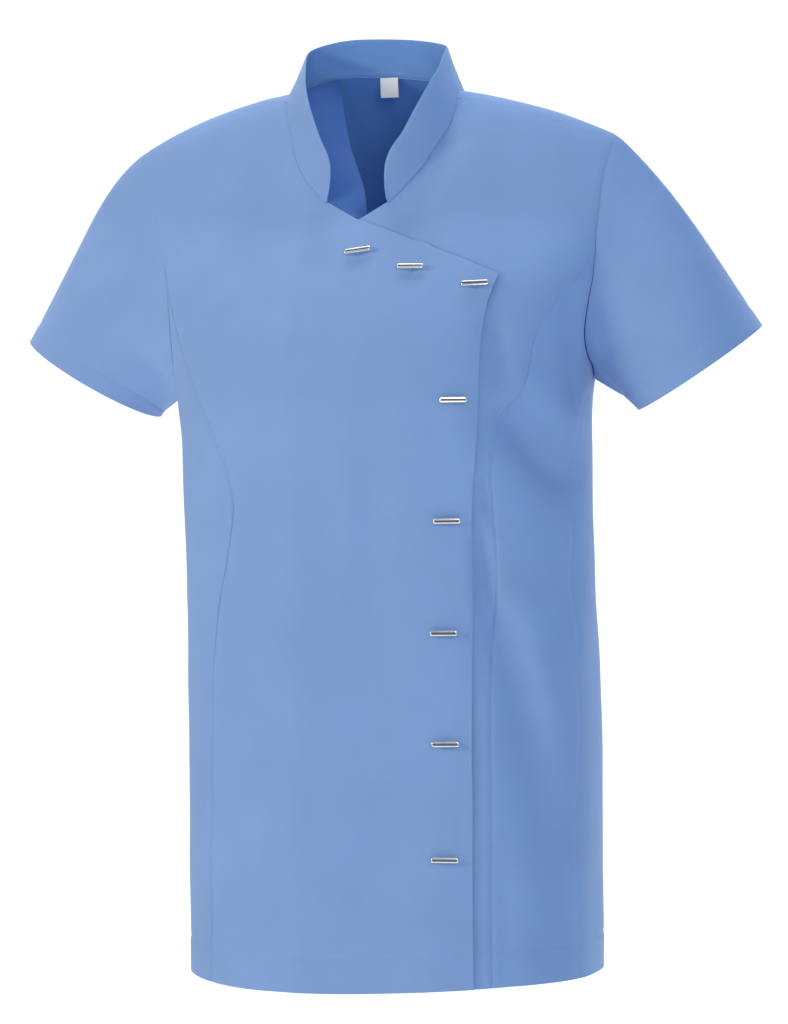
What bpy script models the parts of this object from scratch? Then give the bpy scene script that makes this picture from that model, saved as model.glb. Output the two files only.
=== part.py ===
"""Women's short-sleeved uniform tunic: stand collar, asymmetric front with bar buttons.

The garment keeps the hollow form that it has when worn. Metres, +Z up, the front towards -Y
and the wearer's left towards +X. The origin lies between the two points where the shoulder
seams meet the collar, because the wearer's shoulders hold the garment up there.
"""

import math

import bmesh
import bpy
import numpy as np
from mathutils import Matrix, Vector

# ---------------------------------------------------------------- driving dimensions
CLOTH = 0.0012            # one layer of the twill with its finish
COLLAR_CLOTH = 0.0020     # two layers and the interlining
SEAM = 0.0003             # gap between pieces that are sewn together
LAYER_GAP = 0.0014        # air between the right front and the left front under it
SHOULDER_ROUND = 0.150    # height over which the body falls from the shoulder line
SHOULDER_TILT = 0.022     # how much higher the right shoulder lies near the neck, per metre
SHOULDER_SEAM_TURN = 0.33 # how far the shoulder seam lies in front of the ridge, radians
FRONT_SQUARENESS = 2.35   # superellipse exponents of the body's front and back halves
BACK_SQUARENESS = 2.80
HEM_FRONT = -0.7603       # heights of the hem at the centre front and at the sides
HEM_SIDE = -0.7515
HEM_SLANT = 0.38          # how far the lowest point lies towards the right, of a half width
HEM_FLATNESS = 2.4        # exponent of its curve
HALF_BODY = 0.178         # half width of the body at the hips
UNDERARM_HEIGHT = {1: -0.246, -1: -0.259}
UNDERLAP_EDGE = -0.022    # hidden front edge of the left front
SEAM_UNDER_COLLAR = 0.0005
FACING_INSIDE = 0.0016       # from the front's outer face to the facing
FACING_BACK_CELLS = 2        # cells of the back neck seam that the facing reaches over
FACING_START = -0.003        # its lowest point on the V, across
BUTTON_LENGTH = 0.0232
BUTTON_HEIGHT = 0.0047
BUTTON_STANDOFF = 0.0030  # from the cloth to the back of the bar


def table(names, *rows):
    """A small table as a dictionary of columns."""
    return {name: np.array(column, float) for name, column in zip(names.split(), zip(*rows))}


BODY = table(
    "height half_width front back shift",
    (0.060, 0.246, 0.046, 0.080, 0.000),
    (0.000, 0.242, 0.048, 0.094, 0.000),
    (-0.060, 0.233, 0.050, 0.102, 0.000),
    (-0.100, 0.224, 0.054, 0.106, 0.001),
    (-0.140, 0.212, 0.078, 0.110, 0.002),
    (-0.180, 0.199, 0.104, 0.112, 0.003),
    (-0.220, 0.187, 0.120, 0.112, 0.003),
    (-0.260, 0.180, 0.126, 0.110, 0.003),
    (-0.300, HALF_BODY, 0.122, 0.107, 0.004),
    (-0.360, HALF_BODY, 0.109, 0.102, 0.004),
    (-0.420, 0.1785, 0.103, 0.104, 0.0048),
    (-0.500, 0.1793, 0.105, 0.114, 0.0063),
    (-0.580, 0.1792, 0.108, 0.127, 0.0062),
    (-0.660, 0.1783, 0.109, 0.134, 0.0053),
    (-0.800, HALF_BODY, 0.110, 0.137, 0.005),
)
SHOULDER_LINE = table(
    "across height",
    (0.000, 0.034),
    (0.040, 0.030),
    (0.060, 0.021),
    (0.0745, 0.0045),
    (0.100, -0.001),
    (0.150, -0.015),
    (0.175, -0.024),
    (0.212, -0.041),
    (0.250, -0.062),
)
NECKLINE = {
    1: table(
        "across height",
        (0.0745, -0.0080),
        (0.0750, -0.0160),
        (0.0732, -0.0260),
        (0.0668, -0.0394),
        (0.0608, -0.0498),
        (0.0514, -0.0651),
        (0.0415, -0.0769),
        (0.0258, -0.0947),
    ),
    -1: table(
        "across height",
        (0.0745, -0.0080),
        (0.0705, -0.0150),
        (0.0658, -0.0252),
        (0.0610, -0.0400),
        (0.0550, -0.0575),
        (0.0464, -0.0722),
        (0.0386, -0.0811),
        (0.0275, -0.0938),
    ),
}
NECK_CENTRE_HEIGHT = -0.1100  # bottom of the V, at the centre front
NECK_BACK_LINE = table(
    "across drop",
    (-0.0745, 0.0000),
    (-0.0715, 0.0024),
    (-0.0610, 0.0072),
    (-0.0400, 0.0104),
    (0.0000, 0.0142),
    (0.0400, 0.0142),
    (0.0610, 0.0086),
    (0.0715, 0.0030),
    (0.0745, 0.0000),
)
OVERLAP_TOP = table(
    "across height",
    (0.0000, NECK_CENTRE_HEIGHT),
    (0.0400, -0.1245),
    (0.0850, -0.1418),
    (0.1300, -0.1600),
)
OVERLAP_EDGE = table(
    "across height",
    (0.1300, -0.1600),
    (0.1232, -0.1868),
    (0.1198, -0.2316),
    (0.1188, -0.2700),
    (0.1142, -0.3150),
    (0.1099, -0.3500),
    (0.1075, -0.4767),
    (0.1065, HEM_FRONT),
)
ARMHOLE_FRONT = {
    1: table(
        "across height",
        (0.2120, -0.0530),
        (0.2060, -0.0760),
        (0.2025, -0.1100),
        (0.2015, -0.1430),
        (0.1970, -0.1800),
        (0.1895, -0.2200),
    ),
    -1: table(
        "across height",
        (-0.2110, -0.0530),
        (-0.2020, -0.0860),
        (-0.1900, -0.1150),
        (-0.1800, -0.1430),
        (-0.1720, -0.1800),
        (-0.1720, -0.2200),
    ),
}
ARMHOLE_BACK = table(
    "across height",
    (0.2120, -0.0500),
    (0.2060, -0.0800),
    (0.1990, -0.1200),
    (0.1930, -0.1650),
    (0.1880, -0.2100),
)
PRINCESS = {
    1: table(
        "across height",
        (0.2015, -0.1430),
        (0.1780, -0.1780),
        (0.1605, -0.2125),
        (0.1565, -0.2350),
        (0.1500, -0.2620),
        (0.1370, -0.2826),
        (0.1272, -0.3130),
        (0.1255, -0.3577),
        (0.1278, -0.4067),
        (0.1230, -0.4720),
        (0.1212, HEM_FRONT),
    ),
    -1: table(
        "across height",
        (-0.1800, -0.1430),
        (-0.1560, -0.2125),
        (-0.1300, -0.2700),
        (-0.1090, -0.3080),
        (-0.1010, -0.3400),
        (-0.1024, -0.3620),
        (-0.1128, -0.4056),
        (-0.1265, -0.4670),
        (-0.1320, HEM_FRONT),
    ),
}
# How far round each side the side seam lies: from the underarm down.
SIDE_SEAM = {
    1: table(
        "height degrees",
        (UNDERARM_HEIGHT[1], 96.0),
        (-0.2750, 87.0),
        (-0.3100, 82.0),
        (-0.4000, 78.0),
        (-0.8000, 78.0),
    ),
    -1: table(
        "height degrees",
        (UNDERARM_HEIGHT[-1], 80.0),
        (-0.8000, 78.0),
    ),
}
# The largest folds: a line on the front (-1) or the back (+1), the half width over which it
# dies away, and how far it stands out (a trough is negative).
FOLDS = table(
    "side x_from z_from x_to z_to spread rise",
    (-1, 0.142, -0.280, 0.186, -0.352, 0.020, -0.0055),
    (-1, 0.130, -0.460, 0.162, -0.620, 0.020, -0.0045),
    (-1, 0.076, -0.045, 0.052, -0.112, 0.012, -0.0025),
    (-1, -0.050, -0.430, -0.075, -0.730, 0.028, 0.0030),
    (-1, 0.030, -0.430, 0.036, -0.740, 0.028, -0.0020),
    (1, -0.085, -0.180, -0.060, -0.520, 0.026, 0.0055),
    (1, 0.085, -0.170, 0.064, -0.500, 0.026, 0.0060),
    (1, 0.000, -0.280, 0.004, -0.720, 0.034, -0.0045),
    (1, 0.120, -0.480, 0.130, -0.745, 0.024, 0.0045),
    (1, -0.125, -0.460, -0.118, -0.745, 0.024, 0.0040),
)
SLEEVE_HALF_DEPTH = 0.056
SLEEVE_START_PULL = 0.30  # share of the sleeve's length over which it leaves the armhole
SLEEVE_END_PULL = 0.36
SLEEVE = {
    1: {
        "outer_corner": (0.3300, 0.020, -0.2060),
        "lower_corner": (0.2255, 0.020, -0.2705),
        "front_dip": 0.014,  # how much lower the cuff's front hangs than its corners' line
        "cap_roundness": 0.45,
    },
    -1: {
        "outer_corner": (-0.3300, 0.020, -0.2025),
        "lower_corner": (-0.2138, 0.020, -0.2725),
        "front_dip": 0.000,
        "cap_roundness": 0.85,
    },
}
# The collar's top edge: share of the neck seam's length from its right end, and where it lies.
COLLAR_EDGE = table(
    "share across depth height",
    (0.000, -0.0267, -0.0565, -0.0920),
    (0.027, -0.0215, -0.0595, -0.0700),
    (0.054, -0.0232, -0.0600, -0.0569),
    (0.098, -0.0306, -0.0550, -0.0435),
    (0.138, -0.0371, -0.0525, -0.0292),
    (0.170, -0.0429, -0.0490, -0.0142),
    (0.221, -0.0507, -0.0375, 0.0078),
    (0.265, -0.0570, -0.0200, 0.0263),
    (0.282, -0.0600, -0.0100, 0.0334),
    (0.313, -0.0625, 0.0035, 0.0395),
    (0.361, -0.0580, 0.0145, 0.0450),
    (0.431, -0.0290, 0.0235, 0.0515),
    (0.511, 0.0085, 0.0275, 0.0508),
    (0.595, 0.0450, 0.0225, 0.0455),
    (0.648, 0.0580, 0.0125, 0.0418),
    (0.682, 0.0612, 0.0040, 0.0388),
    (0.713, 0.0628, -0.0085, 0.0330),
    (0.740, 0.0632, -0.0235, 0.0205),
    (0.777, 0.0598, -0.0365, 0.0080),
    (0.836, 0.0499, -0.0495, -0.0157),
    (0.901, 0.0385, -0.0545, -0.0385),
    (0.946, 0.0298, -0.0580, -0.0508),
    (0.973, 0.0230, -0.0580, -0.0680),
    (1.000, 0.0250, -0.0543, -0.0930),
)
FACING_EDGE = table(
    "across depth height",
    (0.0055, -0.0470, -0.1120),
    (0.0035, -0.0440, -0.0930),
    (-0.0215, -0.0110, -0.0420),
    (-0.0443, 0.0290, 0.0180),
)
LABEL = {
    "across": 0.0,
    "top": 0.0195,
    "width": 0.0160,
    "drop": 0.0170,
    "thick": 0.0012,
    "clear": 0.0020,
    "tilt": 0.10,
}
BUTTON = {
    "depth": 0.0026,
    "rounding": 0.0007,
    "slot_length": 0.0200,
    "slot_height": 0.0012,
    "slot_depth": 0.0008,
    "shank_width": 0.0032,
    "clear": 0.0006,
}
BUTTONS = table(
    "across height tilt",
    (0.0084, -0.1402, 8.0),
    (0.0573, -0.1558, -1.0),
    (0.1128, -0.1706, 2.0),
    (0.0995, -0.2641, 0.0),
    (0.0896, -0.3637, 0.0),
    (0.0849, -0.4581, 0.0),
    (0.0861, -0.5503, 0.0),
    (0.0849, -0.6463, -1.0),
)
COLOURS = {
    "cloth": (0.475, 0.616, 0.824),
    "facing": (0.216, 0.353, 0.604),
    "label": (0.93, 0.93, 0.94),
    "metal": (0.78, 0.79, 0.80),
}


# ---------------------------------------------------------------- curves
def hermite(keys, values, at):
    """Smooth curve through the table's rows that never overshoots them."""
    order = np.argsort(keys)
    keys, values = keys[order], values[order]
    steps = np.diff(keys)
    slopes = np.diff(values) / steps
    inner = np.zeros(len(keys) - 2)
    rising = slopes[:-1] * slopes[1:] > 0
    near, far = 2 * steps[1:] + steps[:-1], steps[1:] + 2 * steps[:-1]
    inner[rising] = ((near + far) / (near / np.where(rising, slopes[:-1], 1.0)
                                     + far / np.where(rising, slopes[1:], 1.0)))[rising]
    tangents = np.concatenate([slopes[:1], inner, slopes[-1:]])
    at = np.clip(at, keys[0], keys[-1])
    row = np.clip(np.searchsorted(keys, at) - 1, 0, len(steps) - 1)
    t = (at - keys[row]) / steps[row]
    return (
        (1 + 2 * t) * (1 - t) ** 2 * values[row]
        + t * (1 - t) ** 2 * steps[row] * tangents[row]
        + t * t * (3 - 2 * t) * values[row + 1]
        + t * t * (t - 1) * steps[row] * tangents[row + 1]
    )


def body_size(column, height):
    return hermite(BODY["height"], BODY[column], height)


def shoulder_height(across):
    level = hermite(SHOULDER_LINE["across"], SHOULDER_LINE["height"], np.abs(across))
    return level - SHOULDER_TILT * across * np.clip(2 - np.abs(across) / 0.1, 0, 1)


def smooth_run(points, count):
    """count + 1 points, evenly spaced on a smooth curve through the given ones."""
    points = np.asarray(points, float)
    lengths = np.concatenate([[0], np.cumsum(np.linalg.norm(np.diff(points, axis=0), axis=1))])
    fine = np.linspace(0, lengths[-1], 20 * count + 1)
    if len(points) > 2:
        dense = np.stack([hermite(lengths, column, fine) for column in points.T], axis=1)
    else:
        dense = np.stack([np.interp(fine, lengths, column) for column in points.T], axis=1)
    run = np.concatenate([[0], np.cumsum(np.linalg.norm(np.diff(dense, axis=0), axis=1))])
    even = np.linspace(0, run[-1], count + 1)
    return np.stack([np.interp(even, run, column) for column in dense.T], axis=1)


def joined(*runs):
    """Runs set end to end, each shared end point kept once."""
    return np.vstack([runs[0]] + [run[1:] for run in runs[1:]])


def rows_of(line):
    return np.stack([line["across"], line["height"]], axis=1)


# ---------------------------------------------------------------- the body's surface
# A place on it is (side, turn, fall): side -1 is the front half and 1 the back half, turn the
# angle from that half's centre line (past 90 degrees it goes on round the side), and fall how
# far below the shoulder line it is (less than 0 goes on over the shoulder).
def surface(side, turn, fall):
    turn, fall = np.broadcast_arrays(np.asarray(turn, float), np.asarray(fall, float))
    steep = np.abs(fall) < math.pi / 2
    drop = SHOULDER_ROUND * np.where(steep, 1 - np.cos(fall), 1 + np.abs(fall) - math.pi / 2)
    across = 0.18 * np.sin(turn)
    for _ in range(12):
        height = shoulder_height(across) - drop
        across = body_size("shift", height) + body_size("half_width", height) * np.sin(turn)
    half = np.where((np.cos(turn) < 0) ^ (fall < 0), -side, side)
    power = np.where(half < 0, FRONT_SQUARENESS, BACK_SQUARENESS)
    depth = np.where(half < 0, body_size("front", height), body_size("back", height))
    level = np.clip(1 - np.abs(np.sin(turn)) ** power, 0, 1) ** (1 / power)
    rise = np.where(steep, np.abs(np.sin(fall)), 1.0)
    return np.stack([across, half * depth * level * rise, height], axis=-1)


def normal(side, turn, fall):
    """The outward normal of the surface, from small steps along it."""
    step = 1e-4
    turning = surface(side, turn + step, fall) - surface(side, turn - step, fall)
    falling = surface(side, turn, fall + step) - surface(side, turn, fall - step)
    across = -side * np.cross(falling, turning)
    return across / np.linalg.norm(across, axis=-1, keepdims=True)


def place(side, across, height):
    """(turn, fall) of the point of one half at this distance across and this height."""
    across, height = np.asarray(across, float), np.asarray(height, float)
    share = (across - body_size("shift", height)) / body_size("half_width", height)
    turn = np.arcsin(np.clip(share, -1, 1))
    drop = np.maximum(shoulder_height(across) - height, 0) / SHOULDER_ROUND
    fall = np.where(drop < 1, np.arccos(1 - np.minimum(drop, 1)), drop - 1 + math.pi / 2)
    return np.stack([turn, fall], axis=-1)


def fold_rise(points):
    """How far the largest folds lift the cloth at these points."""
    total = np.zeros(points.shape[:-1])
    for side, x_from, z_from, x_to, z_to, spread, rise in zip(*FOLDS.values()):
        start, run = np.array([x_from, z_from]), np.array([x_to - x_from, z_to - z_from])
        flat = points[..., [0, 2]] - start
        along = np.clip(flat @ run / (run @ run), 0, 1)
        away = np.linalg.norm(flat - along[..., None] * run, axis=-1)
        same_half = np.clip(side * points[..., 1] / 0.03, 0, 1)
        total += rise * np.exp(-((away / spread) ** 2)) * same_half
    return total


def overlap_lift(across):
    """How far the right front stands off the body where the left front lies under it."""
    start = UNDERLAP_EDGE - 0.045
    share = np.clip((across - start) / 0.026, 0, 1)
    return (CLOTH + LAYER_GAP) * share * share * (3 - 2 * share)


def cloth_points(side, places, over=False):
    """Points of the cloth's outer face at these places, and its normals."""
    turn, fall = places[..., 0], places[..., 1]
    base = surface(side, turn, fall)
    outward = normal(side, turn, fall)
    rise = fold_rise(base)
    if over:
        rise = rise + overlap_lift(base[..., 0])
    return base + outward * rise[..., None], outward


# ---------------------------------------------------------------- pieces' outlines
# How many cells each border has. Two pieces that share a seam have the same points on it.
SHOULDER_CELLS = 5
NECK_CELLS = 7
V_CELLS = 2
OVERLAP_CELLS = 9
UNDERLAP_CELLS = 2
UPPER_ARM_CELLS = 6
PRINCESS_TOP_CELLS = 2
LOWER_ARM_CELLS = 8
BACK_ARM_CELLS = 14
BACK_NECK_CELLS = 12
# Heights of the fronts' rows, from where the armhole curves stop shaping them to the hem.
EVENING_ROWS = 5  # rows over which a front's columns become evenly spaced
FRONT_LEVELS = (
    -0.185, -0.210, -0.235, -0.260, -0.285, -0.315,
    -0.350, -0.390, -0.435, -0.490, -0.555, -0.630,
)


def hem_height(across):
    share = np.clip((across - body_size("shift", HEM_SIDE)) / HALF_BODY, -1, 1)
    share = share + HEM_SLANT * (1 - share ** 2)
    return HEM_SIDE + (HEM_FRONT - HEM_SIDE) * (1 - np.abs(share) ** HEM_FLATNESS)


def line_at(line, height):
    """Place on the front where a table's line reaches a height, or the hem if none is given."""
    if height is None:
        height = hem_height(line["across"][-1])
    return place(-1, hermite(line["height"], line["across"], height), height)


def on_side(side, rows, count):
    return place(side, *smooth_run(rows, count).T)


def side_place(hand, height, side):
    """The side seam at one height, as a place of the front or the back half."""
    turn = math.radians(hermite(SIDE_SEAM[hand]["height"], SIDE_SEAM[hand]["degrees"], height))
    turn = turn if side < 0 else math.pi - turn
    across = body_size("shift", height) + body_size("half_width", height) * hand * math.sin(turn)
    return np.array([hand * turn, place(side, across, height)[1]])


def side_seam(hand, side):
    """The side seam, from the underarm to the hem, with rows like the princess seam's."""
    top = PRINCESS[hand]["height"][0]
    first = np.linspace(top, FRONT_LEVELS[0], PRINCESS_TOP_CELLS + 1)
    levels = np.concatenate([first, FRONT_LEVELS[1:], [HEM_SIDE]])
    underarm = UNDERARM_HEIGHT[hand]
    heights = underarm + (levels - top) / (HEM_SIDE - top) * (HEM_SIDE - underarm)
    run = np.array([side_place(hand, height, side) for height in heights])
    across = body_size("shift", HEM_SIDE) + HALF_BODY * np.sin(run[-1, 0])
    run[-1, 1] = place(side, across, hem_height(across))[1]
    return run


def armhole_tip(hand, side):
    """Where the shoulder seam meets the armhole."""
    across = ARMHOLE_FRONT[hand]["across"][0]
    height = shoulder_height(across) - SHOULDER_ROUND * (1 - math.cos(SHOULDER_SEAM_TURN))
    return np.array([place(side, across, height)[0], -side * SHOULDER_SEAM_TURN])


def armhole_front(hand):
    """The armhole from the shoulder to the princess seam, and from there to the underarm."""
    rows = place(-1, *rows_of(ARMHOLE_FRONT[hand]).T)
    rows = np.vstack([armhole_tip(hand, -1), rows[1:], side_place(hand, UNDERARM_HEIGHT[hand], -1)])
    dense = smooth_run(rows, 240)
    start = line_at(PRINCESS[hand], PRINCESS[hand]["height"][0])
    split = np.argmin(np.linalg.norm(dense - start, axis=1))
    upper = smooth_run(dense[: split + 1], UPPER_ARM_CELLS)
    return upper, smooth_run(dense[split:], LOWER_ARM_CELLS)


def armhole_back(hand):
    """From the shoulder seam, which lies in front of the ridge, to the underarm."""
    rows = place(1, *(rows_of(ARMHOLE_BACK) * [hand, 1]).T)
    low = side_place(hand, UNDERARM_HEIGHT[hand], 1)
    turned = side_place(hand, UNDERARM_HEIGHT[hand] + 0.004, 1)
    turned[0] = (rows[-1, 0] + low[0]) / 2
    ridge = np.array([armhole_tip(hand, 1)[0], 0.0])
    return smooth_run(np.vstack([armhole_tip(hand, 1), ridge, rows[1:], turned, low]), BACK_ARM_CELLS)


def neck_point(hand, side):
    """Where the shoulder seam meets the collar."""
    across = hand * NECKLINE[hand]["across"][0]
    height = shoulder_height(across) - SHOULDER_ROUND * (1 - math.cos(SHOULDER_SEAM_TURN))
    return np.array([place(side, across, height)[0], -side * SHOULDER_SEAM_TURN])


def shoulder_run(hand, side):
    """The shoulder seam, from the collar to the armhole."""
    return np.linspace(neck_point(hand, side), armhole_tip(hand, side), SHOULDER_CELLS + 1)


def neck_front(hand):
    """The front neckline under the collar, from the shoulder seam to the collar's end."""
    rows = place(-1, *(rows_of(NECKLINE[hand]) * [hand, 1]).T)
    rows[0] = neck_point(hand, -1)
    return smooth_run(rows, NECK_CELLS)


def neck_v(hand):
    """The bare neckline, from the collar's end to the bottom of the V."""
    end = rows_of(NECKLINE[hand])[-1] * [hand, 1]
    return on_side(-1, np.array([end, [0.0, NECK_CENTRE_HEIGHT]]), V_CELLS)


def neck_back():
    """The back neckline, from the right shoulder seam to the left one."""
    across, drop = NECK_BACK_LINE["across"], NECK_BACK_LINE["drop"]
    line = place(1, across, shoulder_height(across) - drop)
    return smooth_run(np.vstack([neck_point(-1, 1), line, neck_point(1, 1)]), BACK_NECK_CELLS)


def princess_run(hand):
    """The princess seam, from the armhole to the hem, with the fronts' rows on it."""
    start = armhole_front(hand)[0][-1]
    levels = [line_at(PRINCESS[hand], height) for height in (*FRONT_LEVELS, None)]
    top = smooth_run(np.array([start, levels[0]]), PRINCESS_TOP_CELLS)
    return joined(top, np.array(levels))


def shares_along(run):
    """How far along it each point of a border lies, from 0 to 1, counting turns most."""
    steps = np.abs(np.diff(run, axis=0)) @ [1.0, 0.22]
    return np.concatenate([[0], np.cumsum(steps)]) / np.sum(steps)


def patch(top, bottom, left, right):
    """A grid of places between four border runs (Coons patch), row by row from the top."""
    u = shares_along(top)
    if len(bottom) == 2:
        bottom = bottom[0] + u[:, None] * (bottom[1] - bottom[0])
    u = u[None, :, None]
    v = np.linspace(0, 1, len(left))[:, None, None]
    ruled = (1 - v) * top[None] + v * bottom[None] + (1 - u) * left[:, None] + u * right[:, None]
    corners = (
        (1 - u) * (1 - v) * top[0]
        + u * (1 - v) * top[-1]
        + (1 - u) * v * bottom[0]
        + u * v * bottom[-1]
    )
    return ruled - corners


def level_row(height, shares, first, last):
    """Places between two border points, all at one height; no height gives the hem's."""
    row = first + shares[:, None] * (last - first)
    across = surface(-1, row[:, 0], row[:, 1])[:, 0]
    return place(-1, across, hem_height(across) if height is None else height)


def front_grid(top, left, right):
    """A front's places: a patch down to the first level, then level rows to the hem.

    left and right give the borders' places on each row of the patch and on each level.
    """
    levels = (*FRONT_LEVELS, None)
    count = len(levels)
    shares = shares_along(top)
    even = np.linspace(0, 1, len(top))
    rows = []
    for step, height in enumerate(levels):
        blend = min(step / EVENING_ROWS, 1.0)
        mixed = (1 - blend) * shares + blend * even
        rows.append(level_row(height, mixed, left[step - count], right[step - count]))
    upper = patch(top, rows[0], left[: 1 - count], right[: 1 - count])
    return np.concatenate([upper, np.array(rows[1:])])


# ---------------------------------------------------------------- meshes
def srgb(colour):
    return [c / 12.92 if c < 0.04045 else ((c + 0.055) / 1.055) ** 2.4 for c in colour]


def material(name, colour, roughness=0.8, metallic=0.0):
    finish = bpy.data.materials.new(name)
    finish.use_nodes = True
    shader = finish.node_tree.nodes["Principled BSDF"]
    shader.inputs["Base Color"].default_value = (*srgb(colour), 1)
    shader.inputs["Roughness"].default_value = roughness
    shader.inputs["Metallic"].default_value = metallic
    return finish


def inset(points, edges):
    """The grid with the named borders drawn in by half a seam's gap."""
    points = points.copy()
    moves = {
        "top": ((0, slice(None)), (1, slice(None))),
        "bottom": ((-1, slice(None)), (-2, slice(None))),
        "left": ((slice(None), 0), (slice(None), 1)),
        "right": ((slice(None), -1), (slice(None), -2)),
    }
    for edge in edges:
        border, beside = moves[edge]
        way = points[beside] - points[border]
        points[border] += way / np.linalg.norm(way, axis=-1, keepdims=True) * (SEAM / 2 + 1e-5)
    return points


def wall(name, outer, inner, finish, closed=False):
    """A closed wall between two grids of points; closed joins the last column to the first."""
    rows, columns = outer.shape[:2]
    shape = bmesh.new()
    faces = [[[shape.verts.new(p) for p in row] for row in grid] for grid in (outer, inner)]
    steps = range(columns if closed else columns - 1)

    def quad(a, b, c, d):
        shape.faces.new((a, b, c, d))

    for grid, flip in zip(faces, (False, True)):
        for i in range(rows - 1):
            for j in steps:
                k = (j + 1) % columns
                ring = (grid[i][j], grid[i + 1][j], grid[i + 1][k], grid[i][k])
                quad(*(ring[::-1] if flip else ring))
    out, into = faces
    for j in steps:
        k = (j + 1) % columns
        quad(out[0][k], into[0][k], into[0][j], out[0][j])
        quad(out[-1][j], into[-1][j], into[-1][k], out[-1][k])
    if not closed:
        for i in range(rows - 1):
            quad(out[i][0], into[i][0], into[i + 1][0], out[i + 1][0])
            quad(out[i + 1][-1], into[i + 1][-1], into[i][-1], out[i][-1])
    bmesh.ops.recalc_face_normals(shape, faces=shape.faces)
    mesh = bpy.data.meshes.new(name)
    shape.to_mesh(mesh)
    shape.free()
    return add_object(name, mesh, finish)


def add_object(name, mesh, finish):
    piece = bpy.data.objects.new(name, mesh)
    mesh.materials.append(finish)
    mesh.shade_smooth()
    mesh.set_sharp_from_angle(angle=math.radians(50))
    GARMENT.objects.link(piece)
    return piece


def panel(name, side, grid, edges, over=False):
    """A body panel: a wall of cloth on the body's surface."""
    outer, outward = cloth_points(side, grid, over)
    outer = inset(outer, edges)
    return wall(name, outer, outer - outward * CLOTH, material(name, COLOURS["cloth"]))


# ---------------------------------------------------------------- scene
for old in list(bpy.data.objects):
    bpy.data.objects.remove(old, do_unlink=True)
GARMENT = bpy.data.collections.new("tunic_jacket")
bpy.context.scene.collection.children.link(GARMENT)
CUTTERS = bpy.data.collections.new("cutters")
bpy.context.scene.collection.children.link(CUTTERS)
CUTTERS.hide_render = True


def front_side_border(hand):
    """Armhole and princess seam of a front, from the shoulder to the hem."""
    return joined(armhole_front(hand)[0], princess_run(hand))


def free_border(line, corner):
    """A front's free edge, with as many rows as the border at its princess seam."""
    levels = [line_at(line, height) for height in (*FRONT_LEVELS, None)]
    top = smooth_run(np.array([place(-1, *corner), levels[0]]), UPPER_ARM_CELLS + PRINCESS_TOP_CELLS)
    return joined(top, np.array(levels))


def build_front_right():
    """The right front: from its princess seam across to the free edge on the left."""
    overlap = on_side(-1, rows_of(OVERLAP_TOP), OVERLAP_CELLS)
    top = joined(shoulder_run(-1, -1)[::-1], neck_front(-1), neck_v(-1), overlap)
    right = free_border(OVERLAP_EDGE, rows_of(OVERLAP_EDGE)[0])
    grid = front_grid(top, front_side_border(-1), right)
    return panel("front_right", -1, grid, ["top", "left"], over=True)


def build_front_left():
    """The left front: from its hidden edge under the right one to its princess seam."""
    end = rows_of(NECKLINE[1])[-1]
    slope = (end[1] - NECK_CENTRE_HEIGHT) / end[0]
    corner = np.array([UNDERLAP_EDGE, NECK_CENTRE_HEIGHT + slope * UNDERLAP_EDGE])
    underlap = on_side(-1, np.array([corner, [0.0, NECK_CENTRE_HEIGHT]]), UNDERLAP_CELLS)
    top = joined(underlap, neck_v(1)[::-1], neck_front(1)[::-1], shoulder_run(1, -1))
    edge = table("across height", corner, (UNDERLAP_EDGE, HEM_FRONT))
    grid = front_grid(top, free_border(edge, corner), front_side_border(1))
    return panel("front_left", -1, grid, ["top", "right"])


def build_side_front(hand, name):
    """The panel between the princess seam and the side seam."""
    top = armhole_front(hand)[1]
    princess, seam = princess_run(hand), side_seam(hand, -1)
    bottom = np.array([princess[-1], seam[-1]])
    grid = patch(top, bottom, princess, seam)
    across = surface(-1, grid[-1, :, 0], grid[-1, :, 1])[:, 0]
    grid[-1] = place(-1, across, hem_height(across))
    return panel(name, -1, grid if hand > 0 else grid[:, ::-1], ["top", "left", "right"])


def build_back():
    """The back, in one piece on the fold; it reaches over the shoulder ridge."""
    right, left = (joined(armhole_back(hand), side_seam(hand, 1)) for hand in (-1, 1))
    top = joined(shoulder_run(-1, 1)[::-1], neck_back(), shoulder_run(1, 1))
    turns = np.linspace(right[-1, 0], left[-1, 0], len(top))
    across = body_size("shift", HEM_SIDE) + HALF_BODY * np.sin(turns)
    bottom = np.stack([turns, place(1, across, hem_height(across))[:, 1]], axis=1)
    return panel("back", 1, patch(top, bottom, right, left), ["top", "left", "right"])


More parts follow.
